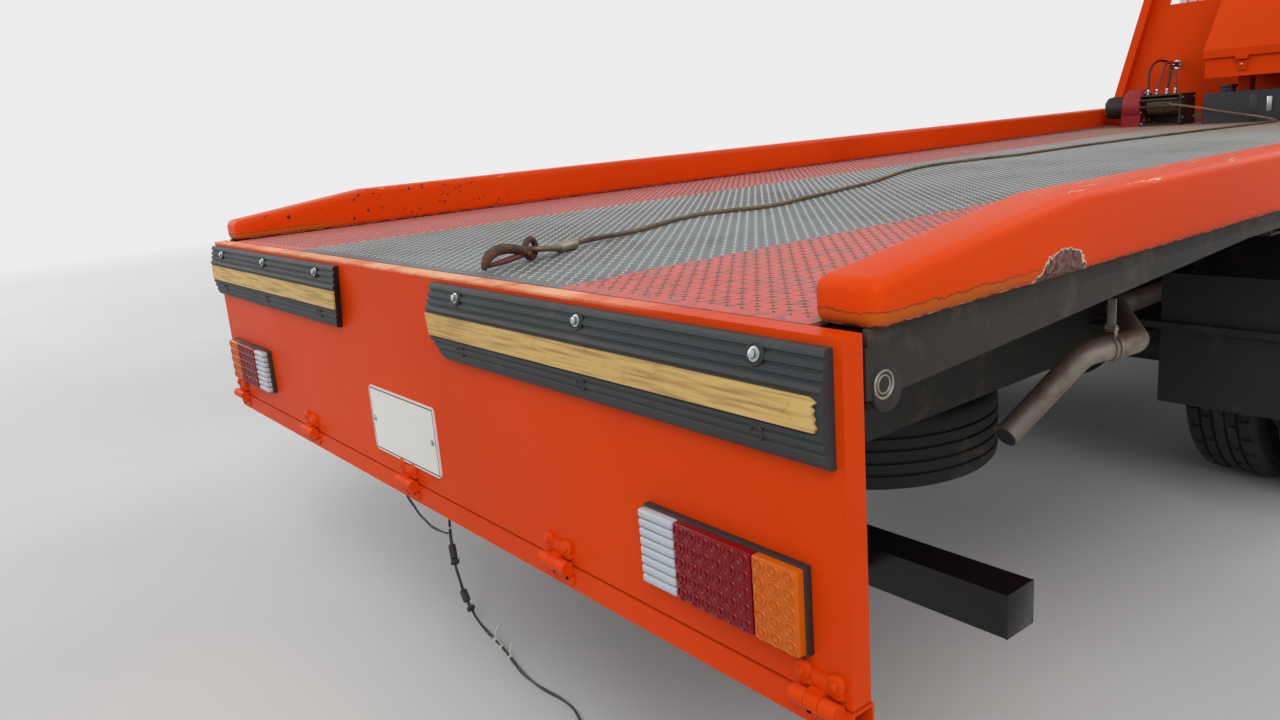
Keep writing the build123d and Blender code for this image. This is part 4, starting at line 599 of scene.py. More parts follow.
def curveThrough(name, routes, kind="NURBS", closed=False, smooth=8):
    # A curve with one line for each route; where a place has a fourth number, that swells the line there
    data = bpy.data.curves.new(name, "CURVE")
    data.dimensions = "3D"
    for route in routes:
        spline = data.splines.new(kind)
        spline.points.add(len(route) - 1)
        for point, place in zip(spline.points, route):
            point.co = (*place[:3], 1)
            point.radius = place[3] if len(place) > 3 else 1
        spline.use_cyclic_u = closed
        if kind == "NURBS":
            spline.order_u = 3
            spline.use_endpoint_u = not closed
        spline.resolution_u = smooth
    holder = bpy.data.objects.new(name, data)
    bpy.context.scene.collection.objects.link(holder)
    return holder


def thicken(curve, radius, sides):
    # The curve gets a round section
    data = curve.data
    data.bevel_depth, data.bevel_resolution, data.use_fill_caps = radius, sides, True
    return curve


def meshOf(curve):
    pick(curve)
    bpy.ops.object.convert(target="MESH")
    return bpy.context.object


def tube(points, radius, closed=False, sides=3, kind="POLY"):
    # A bent bar or hose as a mesh
    return meshOf(thicken(curveThrough("tube", [points], kind, closed), radius, sides))


def piece(name, parts, material, body, slot, *replaced):
    # The parts become one object with one finish, which rides on a body of the frame
    pick(*parts)
    if len(parts) > 1:
        bpy.ops.object.join()
    whole = bpy.context.object
    whole.name = whole.data.name = name
    bpy.ops.object.shade_smooth_by_angle(angle=math.radians(38))
    whole.data.materials.clear()
    whole.data.materials.append(finish[material])
    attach(whole, body)
    if replaced:
        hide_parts(*replaced)
    return whole


def moved(part, matrix):
    # A copy with its own mesh, turned, mirrored or moved by the matrix
    twin = part.copy()
    twin.data = part.data.copy()
    bpy.context.scene.collection.objects.link(twin)
    twin.data.transform(matrix)
    if matrix.is_negative:
        twin.data.flip_normals()
    return twin


mirrorY = Matrix.Scale(-1, 4, (0, 1, 0))


def bothSides(parts):
    return parts + [moved(part, mirrorY) for part in parts]


# Cords: the winch rope, its hook, the winch's hoses and the lamps' loom, on the routes of the source

def linePoints(route):
    # The points that the route's NURBS line passes through
    holder = curveThrough("routeLine", [route], smooth=24)
    bpy.context.view_layer.update()
    line = bpy.data.meshes.new_from_object(holder.evaluated_get(bpy.context.evaluated_depsgraph_get()))
    points = [vertex.co.copy() for vertex in line.vertices]
    bpy.data.objects.remove(holder)
    return points


def evenly(points, step):
    # The same line with its points a step apart
    places, left = [points[0]], step
    for here, there in zip(points, points[1:]):
        run = (there - here).length
        way = (there - here).normalized()
        gone = left
        while gone <= run:
            places.append(here + way * gone)
            gone += step
        left = gone - run
    if (places[-1] - points[-1]).length > step * 0.3:
        places.append(points[-1])
    return places


def lengthOf(points):
    return sum((there - here).length for here, there in zip(points, points[1:]))


def strands(name, path, step, lays):
    # Strands that wind round a line: lays are (radius, distance from the line, start turn, run of one turn)
    places = evenly(path, step)
    ways = [(there - here).normalized() for here, there in zip(places, places[1:])]
    ways.append(ways[-1])
    side = ways[0].orthogonal().normalized()
    sides = []
    for way in ways:
        side = (side - way * side.dot(way)).normalized()
        sides.append((side, way.cross(side)))
    routes = []
    for radius, off, start, lay in lays:
        route = []
        for index, (place, (across, over)) in enumerate(zip(places, sides)):
            angle = 2 * math.pi * (start + index * step / lay)
            at = place + across * off * math.cos(angle) + over * off * math.sin(angle)
            route.append((*at, radius * 1000))
        routes.append(route)
    return meshOf(thicken(curveThrough(name, routes, "POLY"), 0.001, 1))


rope = {
    "diameter": 0.012, "lay": 0.078, "strands": 6, "wire": 0.0021, "off": 0.0039, "step": 0.0055,
    "route": [
        (5190, 700, 127), (5128, 698, 124), (5086, 652, 116), (5069, 585, 106), (5061, 500, 90),
        (5056, 405, 70), (5053, 305, 49), (5048, 210, 31), (5021, 134, 18), (4963, 84, 10), (4886, 60, 6.5),
        (4750, 86, 6.5), (4580, 112, 6.5), (4410, 140, 6.5), (4240, 163, 6.5), (4070, 192, 6.5),
        (3900, 216, 6.5), (3730, 243, 6.5), (3560, 262, 6.5), (3390, 273, 6.5), (3220, 280, 6.5),
        (3060, 288, 6.5), (2910, 282, 6.5), (2780, 316, 6.5), (2640, 352, 6.5), (2500, 372, 6.5),
        (2350, 362, 6.5), (2200, 320, 6.5), (2060, 266, 6.5), (1930, 204, 6.5), (1800, 146, 6.5),
        (1660, 100, 6.5), (1520, 62, 6.5), (1390, 18, 6.5), (1260, -14, 6.5), (1140, -54, 6.5),
        (1045, -60, 6.5), (975, -12, 6.5), (895, 5, 6.5), (800, -18, 6.5), (705, -64, 6.5),
        (605, -110, 6.5), (505, -149, 8.5), (425, -172, 12), (352, -203, 12)],
}
ropeLine = linePoints([onBed(*place) for place in rope["route"]])
lays = [(rope["wire"], rope["off"], turn / rope["strands"], rope["lay"]) for turn in range(rope["strands"])]
winchRope = piece("winchRope", [strands("winchRope", ropeLine, rope["step"], lays)], "drawnRopeWire", "bed",
                  "rope_steel", "winch_rope")

# The hook lies behind the rope's end: s runs along it, w across it and z above the deck, in millimetres
hook = {
    "way": -157, "bar": 9.7, "latchBar": 5.2, "eye": (166, 0, 26), "eyeWide": 18, "eyeBar": 6.5,
    "pin": (193, 0, 24), "pinWide": 8.5, "pinLong": 30, "rivet": (193, 0, 20), "rivetWide": 4,
    "rivetLong": 36,
    "bowl": [(180, 24, 0.86), (196, 27, 0.9), (222, 33, 1.0), (250, 38, 1.06), (278, 38, 1.12),
             (300, 32, 1.08),
             (312, 22, 0.9), (317, 13, 0.72), (319, 8.2, 0.45)],
    "latch": [(192, 17, 1.0), (222, 15.5, 1.2), (256, 14.5, 1.2), (290, 13.5, 0.9), (304, 13, 0.7)],
}
sleeve = {"middle": 35, "long": 68, "wide": 10.8, "high": 12, "ridges": (10, 26, 42, 58), "ridge": 9.8,
          "ridgeThick": 1.6}
loop = {
    "rope": [(64, -3, 12), (84, -12, 13.5), (108, -24, 17), (134, -30, 20.5), (156, -22, 23.5),
             (164, 0, 24.5),
             (156, 22, 23.5), (134, 30, 20.5), (108, 24, 17), (84, 12, 13.5), (64, 3, 12)],
    "thimble": [(88, 0, 14), (108, -15, 17), (132, -20, 20.5), (148, -14, 22.5), (153, 0, 23.5),
                (148, 14, 22.5), (132, 20, 20.5), (108, 15, 17)],
    "ropeThick": 0.0062, "thimbleThick": 0.0042,
}
hookWay = Vector((math.cos(math.radians(hook["way"])), math.sin(math.radians(hook["way"])), 0))
hookSide = Vector((-hookWay.y, hookWay.x, 0))


def alongHook(s, w, z):
    return onBed(*rope["route"][-1][:2], z) + hookWay * (s / 1000) + hookSide * (w / 1000)


def hookBar(line, radius, sides):
    # A bar in the hook's upright plane that swells by the third number of each place
    return tube([(*alongHook(s, 0, z), swell) for s, z, swell in line], radius / 1000, False, sides, "NURBS")


sleeveParts = [disc(alongHook(sleeve["middle"], 0, sleeve["high"]), hookWay, sleeve["wide"] / 1000,
                    sleeve["long"] / 1000, 28, 0.003)]
for s in sleeve["ridges"]:   # the press leaves a ridge between its bites
    sleeveParts.append(ringAt(alongHook(s, 0, sleeve["high"]), hookWay, sleeve["ridge"] / 1000,
                              sleeve["ridgeThick"] / 1000, 28, 6))
ropeSleeve = piece("ropeSleeve", sleeveParts, "pressedAluminium", "bed", "rope_steel")
ropeLoop = tube([alongHook(*place) for place in loop["rope"]], loop["ropeThick"], False, 3, "NURBS")
piece("ropeLoop", [ropeLoop], "drawnRopeWire", "bed", "rope_steel")
thimble = tube([alongHook(*place) for place in loop["thimble"]], loop["thimbleThick"], True, 3, "NURBS")
piece("ropeThimble", [thimble], "zincPlatedSteel", "bed", "rope_steel")
bowl = hookBar(hook["bowl"], hook["bar"], 5)
latch = hookBar(hook["latch"], hook["latchBar"], 3)
eye = ringAt(alongHook(*hook["eye"]), hookSide, hook["eyeWide"] / 1000, hook["eyeBar"] / 1000, 32, 12)
pin = disc(alongHook(*hook["pin"]), hookSide, hook["pinWide"] / 1000, hook["pinLong"] / 1000, 20, 0.002)
piece("ropeHook", [bowl, eye, pin], "forgedRustySteel", "bed", "hook_steel", "rope_hook")
rivet = disc(alongHook(*hook["rivet"]), hookSide, hook["rivetWide"] / 1000, hook["rivetLong"] / 1000, 12)
piece("hookLatch", [latch, rivet], "redHoseRubber", "bed", "hook_steel")
evenly(ropeLine, rope["step"])

hoses = {
    "radius": 0.007, "nut": 0.0115, "ferrule": 0.0092,
    "routes": [
        [(5215, 855, 174), (5215, 855, 214), (5222, 862, 268), (5252, 868, 325), (5310, 867, 363),
         (5380, 862, 370), (5450, 860, 358), (5520, 859, 351), (5580, 859, 349)],
        [(5250, 822, 174), (5250, 822, 215), (5262, 812, 265), (5292, 812, 312), (5345, 822, 345),
         (5405, 834, 352), (5465, 840, 351), (5525, 841, 350), (5580, 841, 350)],
        [(5275, 776, 174), (5275, 776, 214), (5284, 768, 262), (5308, 776, 304), (5352, 798, 326),
         (5408, 822, 334), (5465, 836, 333), (5525, 841, 332), (5580, 842, 331)],
        [(5296, 738, 174), (5296, 738, 212), (5301, 741, 250), (5314, 748, 285), (5341, 768, 310),
         (5385, 799, 323), (5440, 832, 330), (5510, 854, 334), (5580, 861, 335)]],
    "finishes": ["hoseRubber", "redHoseRubber", "hoseRubber", "redHoseRubber"],
}


def cordCurve(name, route, radius, material, body, replaced):
    # A cord as one NURBS line with a round section
    cord = thicken(curveThrough(name, [route], smooth=10), radius, 4)
    cord.data.materials.append(finish[material])
    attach(cord, body)
    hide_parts(replaced)
    return cord


for number, (route, material) in enumerate(zip(hoses["routes"], hoses["finishes"]), 1):
    places = [onBed(*place) for place in route]
    hose = cordCurve(f"winchHose{number}", places, hoses["radius"], material, "bed",
                     "winch_hoses")
    foot = places[0]
    collars = [disc(foot + Vector((0, 0, 0.006)), (0, 0, 1), hoses["nut"], 0.014, 6, 0.001),
               disc(foot + Vector((0, 0, 0.022)), (0, 0, 1), hoses["ferrule"], 0.022, 20, 0.0015),
               disc(places[-1] - Vector((0.012, 0, 0)), (1, 0, 0), hoses["ferrule"], 0.02, 20, 0.0015)]
    fitting = piece(f"hoseFitting{number}", collars, "zincPlatedSteel", "bed", "hose_rubber")
    lengthOf(linePoints(places))

loom = {
    "main": [(395, 620, -525), (395, 620, -600), (376, 602, -686), (345, 567, -765), (315, 522, -830),
             (292, 472, -895), (280, 428, -960), (276, 380, -1020), (277, 312, -1058), (272, 222, -1071),
             (258, 128, -1075), (241, 42, -1075), (239, -48, -1075), (252, -120, -1075), (249, -180, -1075),
             (228, -226, -1075)],
    "branch": [(395, 980, -525), (395, 980, -600), (368, 960, -680), (344, 922, -757), (334, 862, -812),
               (327, 786, -846), (318, 706, -862), (310, 632, -866), (306, 572, -860), (305, 517, -850)],
    "step": 0.008,
    "plugs": [(0.36, 0.042, 0.020), (0.385, 0.014, 0.024), (0.47, 0.036, 0.018), (0.50, 0.012, 0.021)],
    "ties": (0.30, 0.62, 0.655, 0.70), "tieEnds": ((0.62, 0.02), (0.655, -0.02), (0.70, 0.014)),
    # thickness and distance from the line as shares of the radius, start turn, run of one turn
    "wires": [(0.62, 0.22, 0.0, 0.5), (0.34, 0.72, 0.1, 0.22), (0.32, 0.74, 0.42, 0.31),
              (0.34, 0.70, 0.75, 0.26)],
}


def around(line, share, long, wide):
    # A small block or band on the loom at a share of its length
    index = int(share * (len(line) - 2))
    way = (line[index + 1] - line[index]).normalized()
    band = slab((-long / 2, -wide / 2, -wide / 2), (long / 2, wide / 2, wide / 2), wide * 0.18)
    band.data.transform(Matrix.Translation(line[index]) @ way.to_track_quat("X", "Z").to_matrix().to_4x4())
    return band


def loomExtras(line):
    # The main loom's plugs, its cable ties with their cut ends, and the tape at its top
    plugs = [around(line, *plug) for plug in loom["plugs"]]
    ties = [around(line, share, 0.006, 0.0115) for share in loom["ties"]]
    ends = []
    for share, lean in loom["tieEnds"]:
        start = line[int(share * (len(line) - 2))]
        tail = [start, start + Vector((0.004, 0.008, 0.018)), start + Vector((lean, 0.010, 0.034))]
        ends.append(tube(tail, 0.0011, False, 1, "NURBS"))
    tape = [around(line, 0.02 * turn + 0.05, 0.016, 0.0112) for turn in range(6)]
    return (piece("loomPlugs", plugs, "mouldedAbs", "bed", "loom_plastic"),
            piece("loomTies", ties + ends, "whitePressedPlate", "bed", "loom_plastic"),
            piece("loomTape", tape, "hoseRubber", "bed", "loom_plastic"))


for name, radius, node in (("main", 0.0045, "lamp_loom"), ("branch", 0.004, "lamp_loom_branch")):
    line = linePoints([onBed(*place) for place in loom[name]])
    wires = [(radius * thick, radius * off, start, lay) for thick, off, start, lay in loom["wires"]]
    loomPiece = piece(f"lampLoom{name.capitalize()}", [strands(node, line, loom["step"], wires)],
                      "corrugatedConduit", "bed", "loom_plastic", node)
    extras = loomExtras(evenly(line, 0.01)) if name == "main" else ()
    evenly(line, loom["step"])

# Tail: rubber bumpers with their wooden band and bolts, in millimetres on the bed, but the teeth in metres

bumper = {
    "outer": -1212, "inner": -232, "long": 980, "bandTop": -66.5, "bandLow": -108, "face": -24.5,
    "teeth": [0.004, 0.001, 0.005, 0.003, 0.006, 0.004, 0.008, 0.000, 0.010],
    "bolts": [-349, -730, -1105],
    # height, depth, direction and seat of each row of bolts, and whether its heads show; each seat is a disc
    # of painted shade
    "boltRows": [(-30, -17, (-0.966, 0, 0.256), 0.0135, True),
                 (-127, -20, (-0.963, 0, -0.269), 0.0095, False)],
    "profile": [
        (0, -11), (12, -11), (14.5, -14), (16, -20), (13, -22), (13.4, -26), (17.6, -28), (18.8, -34),
        (15.6, -36), (16, -39.5), (20, -41.5), (21, -47), (18, -49), (18.4, -52), (22.8, -54), (25, -59),
        (24, -62), (22.5, -63), (22.5, -111), (24.2, -112), (23.4, -118), (20, -120), (19.6, -123),
        (22, -125), (21, -131), (17.6, -133), (17.2, -136), (19.4, -138), (17, -146), (13, -154),
        (8, -157), (0, -157)],
}


def ribbedBar():
    # The moulded section drawn out along the tailboard, its inner end rounded back towards the foot
    clearSelection()
    bpy.ops.mesh.primitive_circle_add(vertices=len(bumper["profile"]), radius=0.1, fill_type="NGON")
    bar = bpy.context.object
    for vertex, (out, z) in zip(bar.data.vertices, bumper["profile"]):
        vertex.co = onBed(-out, bumper["outer"], z)
    editAll()
    bpy.ops.mesh.extrude_region_move(TRANSFORM_OT_translate={"value": (0, bumper["long"] / 1000, 0)})
    bpy.ops.mesh.select_all(action="SELECT")
    bpy.ops.mesh.normals_make_consistent(inside=False)
    leaveEdit()
    for vertex in bar.data.vertices:
        if vertex.co.y > onBed(0, bumper["outer"] + 212, 0).y:
            down = (deckTop - vertex.co.z) * 1000
            vertex.co.y += (min(down, 60) - 60) * 0.00018 - max(0, down - 108) * 0.0008
    return settle(bar)


def bandStrip():
    # A thin strip along the flat zone, its outer end split and shorter than the rubber
    start, end = bumper["outer"] + 28, bumper["inner"] - 3
    strip = slab(onBed(bumper["face"] - 2.4, start, bumper["bandLow"]),
                 onBed(bumper["face"] + 3, end, bumper["bandTop"]), 0)
    editAll()
    bpy.ops.mesh.subdivide(number_cuts=len(bumper["teeth"]) - 2)
    leaveEdit()
    low, high = onBed(0, start, bumper["bandLow"]), onBed(0, end, bumper["bandTop"])
    for vertex in strip.data.vertices:
        share = (vertex.co.z - low.z) / (high.z - low.z)
        if vertex.co.y < low.y + 0.001:
            vertex.co.y -= 0.022 - bumper["teeth"][round(share * (len(bumper["teeth"]) - 1))]
        elif vertex.co.y > high.y - 0.001:
            vertex.co.y += 0.003 * share - 0.004 * (1 - share)
    return strip


piece("ribbedBumpers", bothSides([ribbedBar()]), "extrudedRubber", "tailboard", "black_rubber",
      "rubber_bumpers")
piece("rubberBumperBands", bothSides([bandStrip()]), "wood", "tailboard", "black_rubber")
seats, heads = [], []
for y in bumper["bolts"]:
    for z, out, way, wide, hasHead in bumper["boltRows"]:
        spot, normal = onBed(out, y, z), Vector(way)
        # each bolt gets a ring and a flush disc of darker rubber: painted shade for its recess, and for the
        # hole where no head shows
        seats.append(ringAt(spot + normal * 0.0005, way, wide, 0.0022, 28, 8))
        seats.append(disc(spot - normal * 0.002, way, wide - 0.001, 0.006, 24, 0.0005))
        if hasHead:
            heads.append(disc(spot + normal * 0.002, way, 0.0098, 0.002, 24, 0.0005))
            heads.append(disc(spot + normal * 0.005, way, 0.0066, 0.006, 6, 0.0008))
piece("bumperBoltRecessShade", bothSides(seats), "hoseRubber", "tailboard", "black_rubber")
piece("bumperBolts", bothSides(heads), "zincPlatedSteel", "tailboard", "drum_steel")

# Lamp clusters, in millimetres on the bed: amber outside, red, then the white flutes
cluster = {"top": -294, "low": -411, "depth": 26, "sunk": 0.6, "rim": 2.5, "flutes": 8,
           "amber": (-1164, -1086), "red": (-1083, -931), "white": (-929, -852)}


def lensBlock(side):
    return slab(onBed(cluster["sunk"] - cluster["depth"], side[0], cluster["low"]),
                onBed(-10, side[1], cluster["top"]), 0.003, 3)


def ledRings(side, columns, rows, radius):
    # A ring and a dot in the lens over each diode
    rings = []
    for column in range(columns):
        for row in range(rows):
            y = side[0] + (side[1] - side[0]) * (column + 0.5) / columns
            z = cluster["low"] + (cluster["top"] - cluster["low"]) * (row + 0.5) / rows
            spot = onBed(-cluster["depth"] + 0.2, y, z)
            rings.append(ringAt(spot, (-1, 0, 0), radius, 0.0013, 20, 6))
            rings.append(disc(spot, (-1, 0, 0), radius * 0.45, 0.003, 12, 0.001))
    return rings


for colour, columns, radius in (("amber", 3, 0.0092), ("red", 6, 0.0096)):
    lenses = [lensBlock(cluster[colour])] + ledRings(cluster[colour], columns, 5, radius)
    piece(f"{colour}Lenses", bothSides(lenses), f"{colour}Lens", "tailboard", "lamp_lens", "rear_lamps")
flutes = []
for row in range(cluster["flutes"]):
    z = cluster["low"] + (cluster["top"] - cluster["low"]) / cluster["flutes"] * row
    flutes.append(slab(onBed(-cluster["depth"], cluster["white"][0], z + 0.5),
                       onBed(-10, cluster["white"][1], z + 14.1), 0.0042, 3))
piece("whiteLenses", bothSides(flutes), "whiteLens", "tailboard", "lamp_lens", "rear_lamps")
gasket = slab(onBed(-12, cluster["amber"][0] - cluster["rim"], cluster["low"] - cluster["rim"]),
              onBed(0, cluster["white"][1] + cluster["rim"], cluster["top"] + cluster["rim"]), 0.0015)
piece("lampGaskets", bothSides([gasket]), "hoseRubber", "tailboard", "lamp_lens", "rear_lamps")

plateBolt = {"y": 142, "z": -352, "washer": 0.0068, "head": 0.0042}
plateBolts = []
for y in (-plateBolt["y"], plateBolt["y"]):
    plateBolts.append(disc(onBed(-4.6, y, plateBolt["z"]), (-1, 0, 0), plateBolt["washer"], 0.0022, 20,
                           0.0006))
    plateBolts.append(disc(onBed(-6.4, y, plateBolt["z"]), (-1, 0, 0), plateBolt["head"], 0.003, 6, 0.0006))
piece("plateBolts", plateBolts, "zincPlatedSteel", "tailboard", "drum_steel")

# Hinges: each has two cast ears on the tailboard and a foot on the rail below the seam
hinge = {"places": [-1177, -588.5, 0, 588.5, 1177], "seam": -468, "ears": 27, "feet": 25}
ears, nuts, feet = [], [], []
for y in hinge["places"]:
    for way in (-1, 1):
        end = y + way * hinge["ears"]
        ears.append(disc(onBed(-4.2, end, hinge["seam"] + 30), (-1, 0, 0), 0.0135, 0.0085, 24, 0.002))
        ears.append(disc(onBed(-3.0, end, hinge["seam"] + 19), (-1, 0, 0), 0.0105, 0.007, 24, 0.002))
        nuts.append(disc(onBed(-9.6, end, hinge["seam"] + 29), (-1, 0, 0), 0.0062, 0.005, 6, 0.001))
        foot = onBed(-2.0, y + way * hinge["feet"], hinge["seam"] - 29)
        feet.append(disc(foot, (-1, 0, 0), 0.011, 0.007, 24, 0.002))
    ears.append(slab(onBed(-7.2, y - 14, hinge["seam"] + 13), onBed(0, y + 14, hinge["seam"] + 33), 0.003))
    feet.append(slab(onBed(-5.5, y - 26, hinge["seam"] - 33), onBed(0, y + 26, hinge["seam"] - 16), 0.003))
piece("hingeWings", ears + nuts, "orangeEnamel", "tailboard", "orange_paint")
piece("hingeFeet", feet, "orangeEnamel", "bed", "orange_paint")
print("tail dressed")

# Deck: raised lugs of the tread plate, in metres

tread = {"cell": 0.0295, "long": 0.0115, "wide": 0.0044, "high": 0.0018, "rear": 0.062, "front": 4.93,
         "half": 1.128}


def lug(x, y, angle):
    clearSelection()
    bpy.ops.mesh.primitive_cone_add(vertices=4, radius1=1, radius2=0, depth=1, end_fill_type="NGON",
                                    location=(x, y, deckTop + tread["high"] / 2 - 0.0002))
    made = bpy.context.object
    made.scale = (tread["long"], tread["wide"], tread["high"])
    made.rotation_euler = (0, 0, math.radians(angle))
    return settle(made)


columns = int((tread["front"] - tread["rear"]) / tread["cell"])
rows = int(2 * tread["half"] / tread["cell"])
startX, startY = tailX + tread["rear"] + 0.01, -rows * tread["cell"] / 2 + 0.01
pick(lug(startX, startY, 45), lug(startX + tread["cell"] / 2, startY + tread["cell"] / 2, -45))
bpy.ops.object.join()
lugs = bpy.context.object
for count, step in ((columns, (tread["cell"], 0, 0)), (rows, (0, tread["cell"], 0))):
    repeat = lugs.modifiers.new("repeat", "ARRAY")
    repeat.use_relative_offset, repeat.use_constant_offset = False, True
    repeat.constant_offset_displace = step
    repeat.count = count
    bpy.ops.object.modifier_apply(modifier=repeat.name)
lugs.name = lugs.data.name = "treadLugs"
lugs.data.materials.clear()
lugs.data.materials.append(finish["tread"])
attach(lugs, "bed")
print("tread lugs", columns * rows * 2)

# Winch: rope wound on the drum, motor cover with its fins, and screws round the ends

winchSet = {"x": 5240, "z": 112, "drumFrom": 676, "drumTo": 850, "pitch": 12.2, "ropeRadius": 0.0468,
            "gearScrews": (84, 868.5, 0.0065, 0.007), "motorScrews": (52, 1091, 0.0052, 0.006),
            "feet": ((-76, 652), (-76, 862), (76, 652), (76, 862)),
            "endScrews": ((-70, 40), (70, 40), (-70, -70), (70, -70)), "fins": 9, "finFrom": 994,
            "finStep": 10}
wx, wz = winchSet["x"], winchSet["z"]
turns = []
for turn in range(math.ceil((winchSet["drumTo"] - winchSet["drumFrom"]) / winchSet["pitch"])):
    y = winchSet["drumFrom"] + turn * winchSet["pitch"]
    turns.append(ringAt(onBed(wx, y, wz), (0.01, 1, 0), winchSet["ropeRadius"], 0.006, 40, 8))
piece("ropeOnDrum", turns, "drawnRopeWire", "winch_drum", "rope_steel")
cover = [ringAt(onBed(wx, 981, wz), (0, 1, 0), 0.064, 0.008, 40, 8),
         slab(onBed(wx - 47, 1084, wz - 37), onBed(wx + 47, 1100, wz + 37), 0.004),
         disc(onBed(wx, 1101, wz), (0, 1, 0), 0.018, 0.01, 24, 0.002)]
piece("winchCover", cover, "beigeMotorPaint", "bed", "winch_paint")
screws = []
for turn in range(8):
    angle = math.radians(22.5 + 45 * turn)
    for reach, y, wide, tall in (winchSet["gearScrews"], winchSet["motorScrews"]):
        spot = onBed(wx + reach * math.cos(angle), y, wz + reach * math.sin(angle))
        screws.append(disc(spot, (0, 1, 0), wide, tall, 6, 0.001))
for x, y in winchSet["feet"]:
    screws.append(disc(onBed(wx + x, y, 14), (0, 0, 1), 0.009, 0.008, 6, 0.001))
for x, z in winchSet["endScrews"]:
    screws.append(disc(onBed(wx + x, 639, wz + z), (0, 1, 0), 0.007, 0.008, 6, 0.001))
piece("winchScrews", screws, "zincPlatedSteel", "bed", "drum_steel")
fins = [ringAt(onBed(wx, winchSet["finFrom"] + fin * winchSet["finStep"], wz), (0, 1, 0), 0.0625, 0.0022, 40,
               6)
        for fin in range(winchSet["fins"])]
piece("motorFins", fins, "greasedCastSteel", "bed", "winch_paint")
print("winch dressed")

# Toolbox: latches with their rings; oil tank: filler, straps, level glass and drain plug, in metres

# each latch plate as how far it stands out at front and back, its half width, and its ends below the top
toolbox = {"face": headX - 0.430, "top": deckTop + 0.395, "latches": (0.30, -0.62),
           "plates": ((0.030, 0.002, 0.030, 0.040, 0.065), (0.010, 0.001, 0.022, 0.070, 0.120))}
latches, rings = [], []
for y in toolbox["latches"]:
    for out, sink, half, high, low in toolbox["plates"]:
        latches.append(slab((toolbox["face"] - out, y - half, toolbox["top"] - low),
                            (toolbox["face"] - sink, y + half, toolbox["top"] - high), 0.002))
    rings.append(ringAt((toolbox["face"] - 0.010, y, toolbox["top"] - 0.092), (0, 1, 0), 0.011, 0.0028, 24,
                        8))
piece("toolboxLatches", latches, "orangeEnamel", "bed", "orange_paint")
piece("latchRings", rings, "zincPlatedSteel", "bed", "drum_steel")

tank = {"filler": 0.09, "fillerWide": 0.036, "capWide": 0.044, "straps": (0.2, -0.26), "strapHalf": 0.02,
        "gauge": (0.35, 0.325), "gaugeLow": 0.05, "gaugeTop": 0.13, "drain": (0.08, 0.04)}
tankLow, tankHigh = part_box("oil_tank")
fillerAt = Vector(((tankLow.x + tankHigh.x) / 2, tankHigh.y - tank["filler"], tankHigh.z))
fittings = [disc(fillerAt + Vector((0, 0, 0.012)), (0, 0, 1), tank["fillerWide"], 0.026, 32, 0.003),
            disc(fillerAt + Vector((0, 0, 0.030)), (0, 0, 1), tank["capWide"], 0.016, 12, 0.003)]
for y in (tankLow.y + tank["straps"][0], tankHigh.y + tank["straps"][1]):
    fittings.append(slab((tankLow.x - 0.0025, y - tank["strapHalf"], deckTop),
                         (tankLow.x + 0.012, y + tank["strapHalf"], tankHigh.z - 0.02), 0.001))
piece("tankFittings", fittings, "brushedBlackPaint", "bed", "black_paint")
gauge = [slab((tankLow.x - 0.008, tankHigh.y - tank["gauge"][0], deckTop + tank["gaugeLow"]),
              (tankLow.x, tankHigh.y - tank["gauge"][1], deckTop + tank["gaugeTop"]), 0.003),
         disc((tankLow.x - 0.005, tankLow.y + tank["drain"][0], deckTop + tank["drain"][1]), (1, 0, 0),
              0.012,
              0.012, 6, 0.001)]
piece("tankGauge", gauge, "zincPlatedSteel", "bed", "drum_steel")

# Tail tube: a painted plug in each end, with two rings round its bolt

tailTube = {"plug": (78, -1221.5, -76), "plugWide": 0.0268, "rings": (70, -1226.5, -68)}
plug = disc(onBed(*tailTube["plug"]), (0, 1, 0), tailTube["plugWide"], 0.010, 32, 0.0005)
piece("tubePlugs", bothSides([plug]), "sillPaint", "bed", "chassis_paint")
tubeEnds = [ringAt(onBed(*tailTube["rings"]), (0, 1, 0), 0.0165, 0.0018, 32, 8),
            ringAt(onBed(*tailTube["rings"]), (0, 1, 0), 0.0110, 0.0013, 28, 8)]
piece("tailTubeRings", bothSides(tubeEnds), "scaledExhaustSteel", "bed", "chassis_paint")

# Exhaust: a tip cut at a slant round a black mouth, which is soot and painted shade for the pipe's hollow
# inside, and a clamp with the strap that it hangs from
exhaust = {"bends": [(260, -780, -390), (110, -720, -400), (0, -590, -600)], "aside": Vector((1.4, 0, 0)),
           "cut": Vector((-0.830, 0.184, -0.525)).normalized(), "outer": 0.0326, "inner": 0.0296,
           "clamp": 0.0335, "clampBolts": 0.014}
upper, bend, mouth = (onBed(*place) + exhaust["aside"] for place in exhaust["bends"])
pipeWay = (mouth - bend).normalized()


def tipPart(radius, extra):
    part = disc(mouth + pipeWay * 0.02, pipeWay, radius, 0.09, 40, 0)
    editAll()
    bpy.ops.mesh.bisect(plane_co=mouth + pipeWay * 0.024 + exhaust["cut"] * extra, plane_no=exhaust["cut"],
                        clear_outer=True, use_fill=True)
    leaveEdit()
    return part


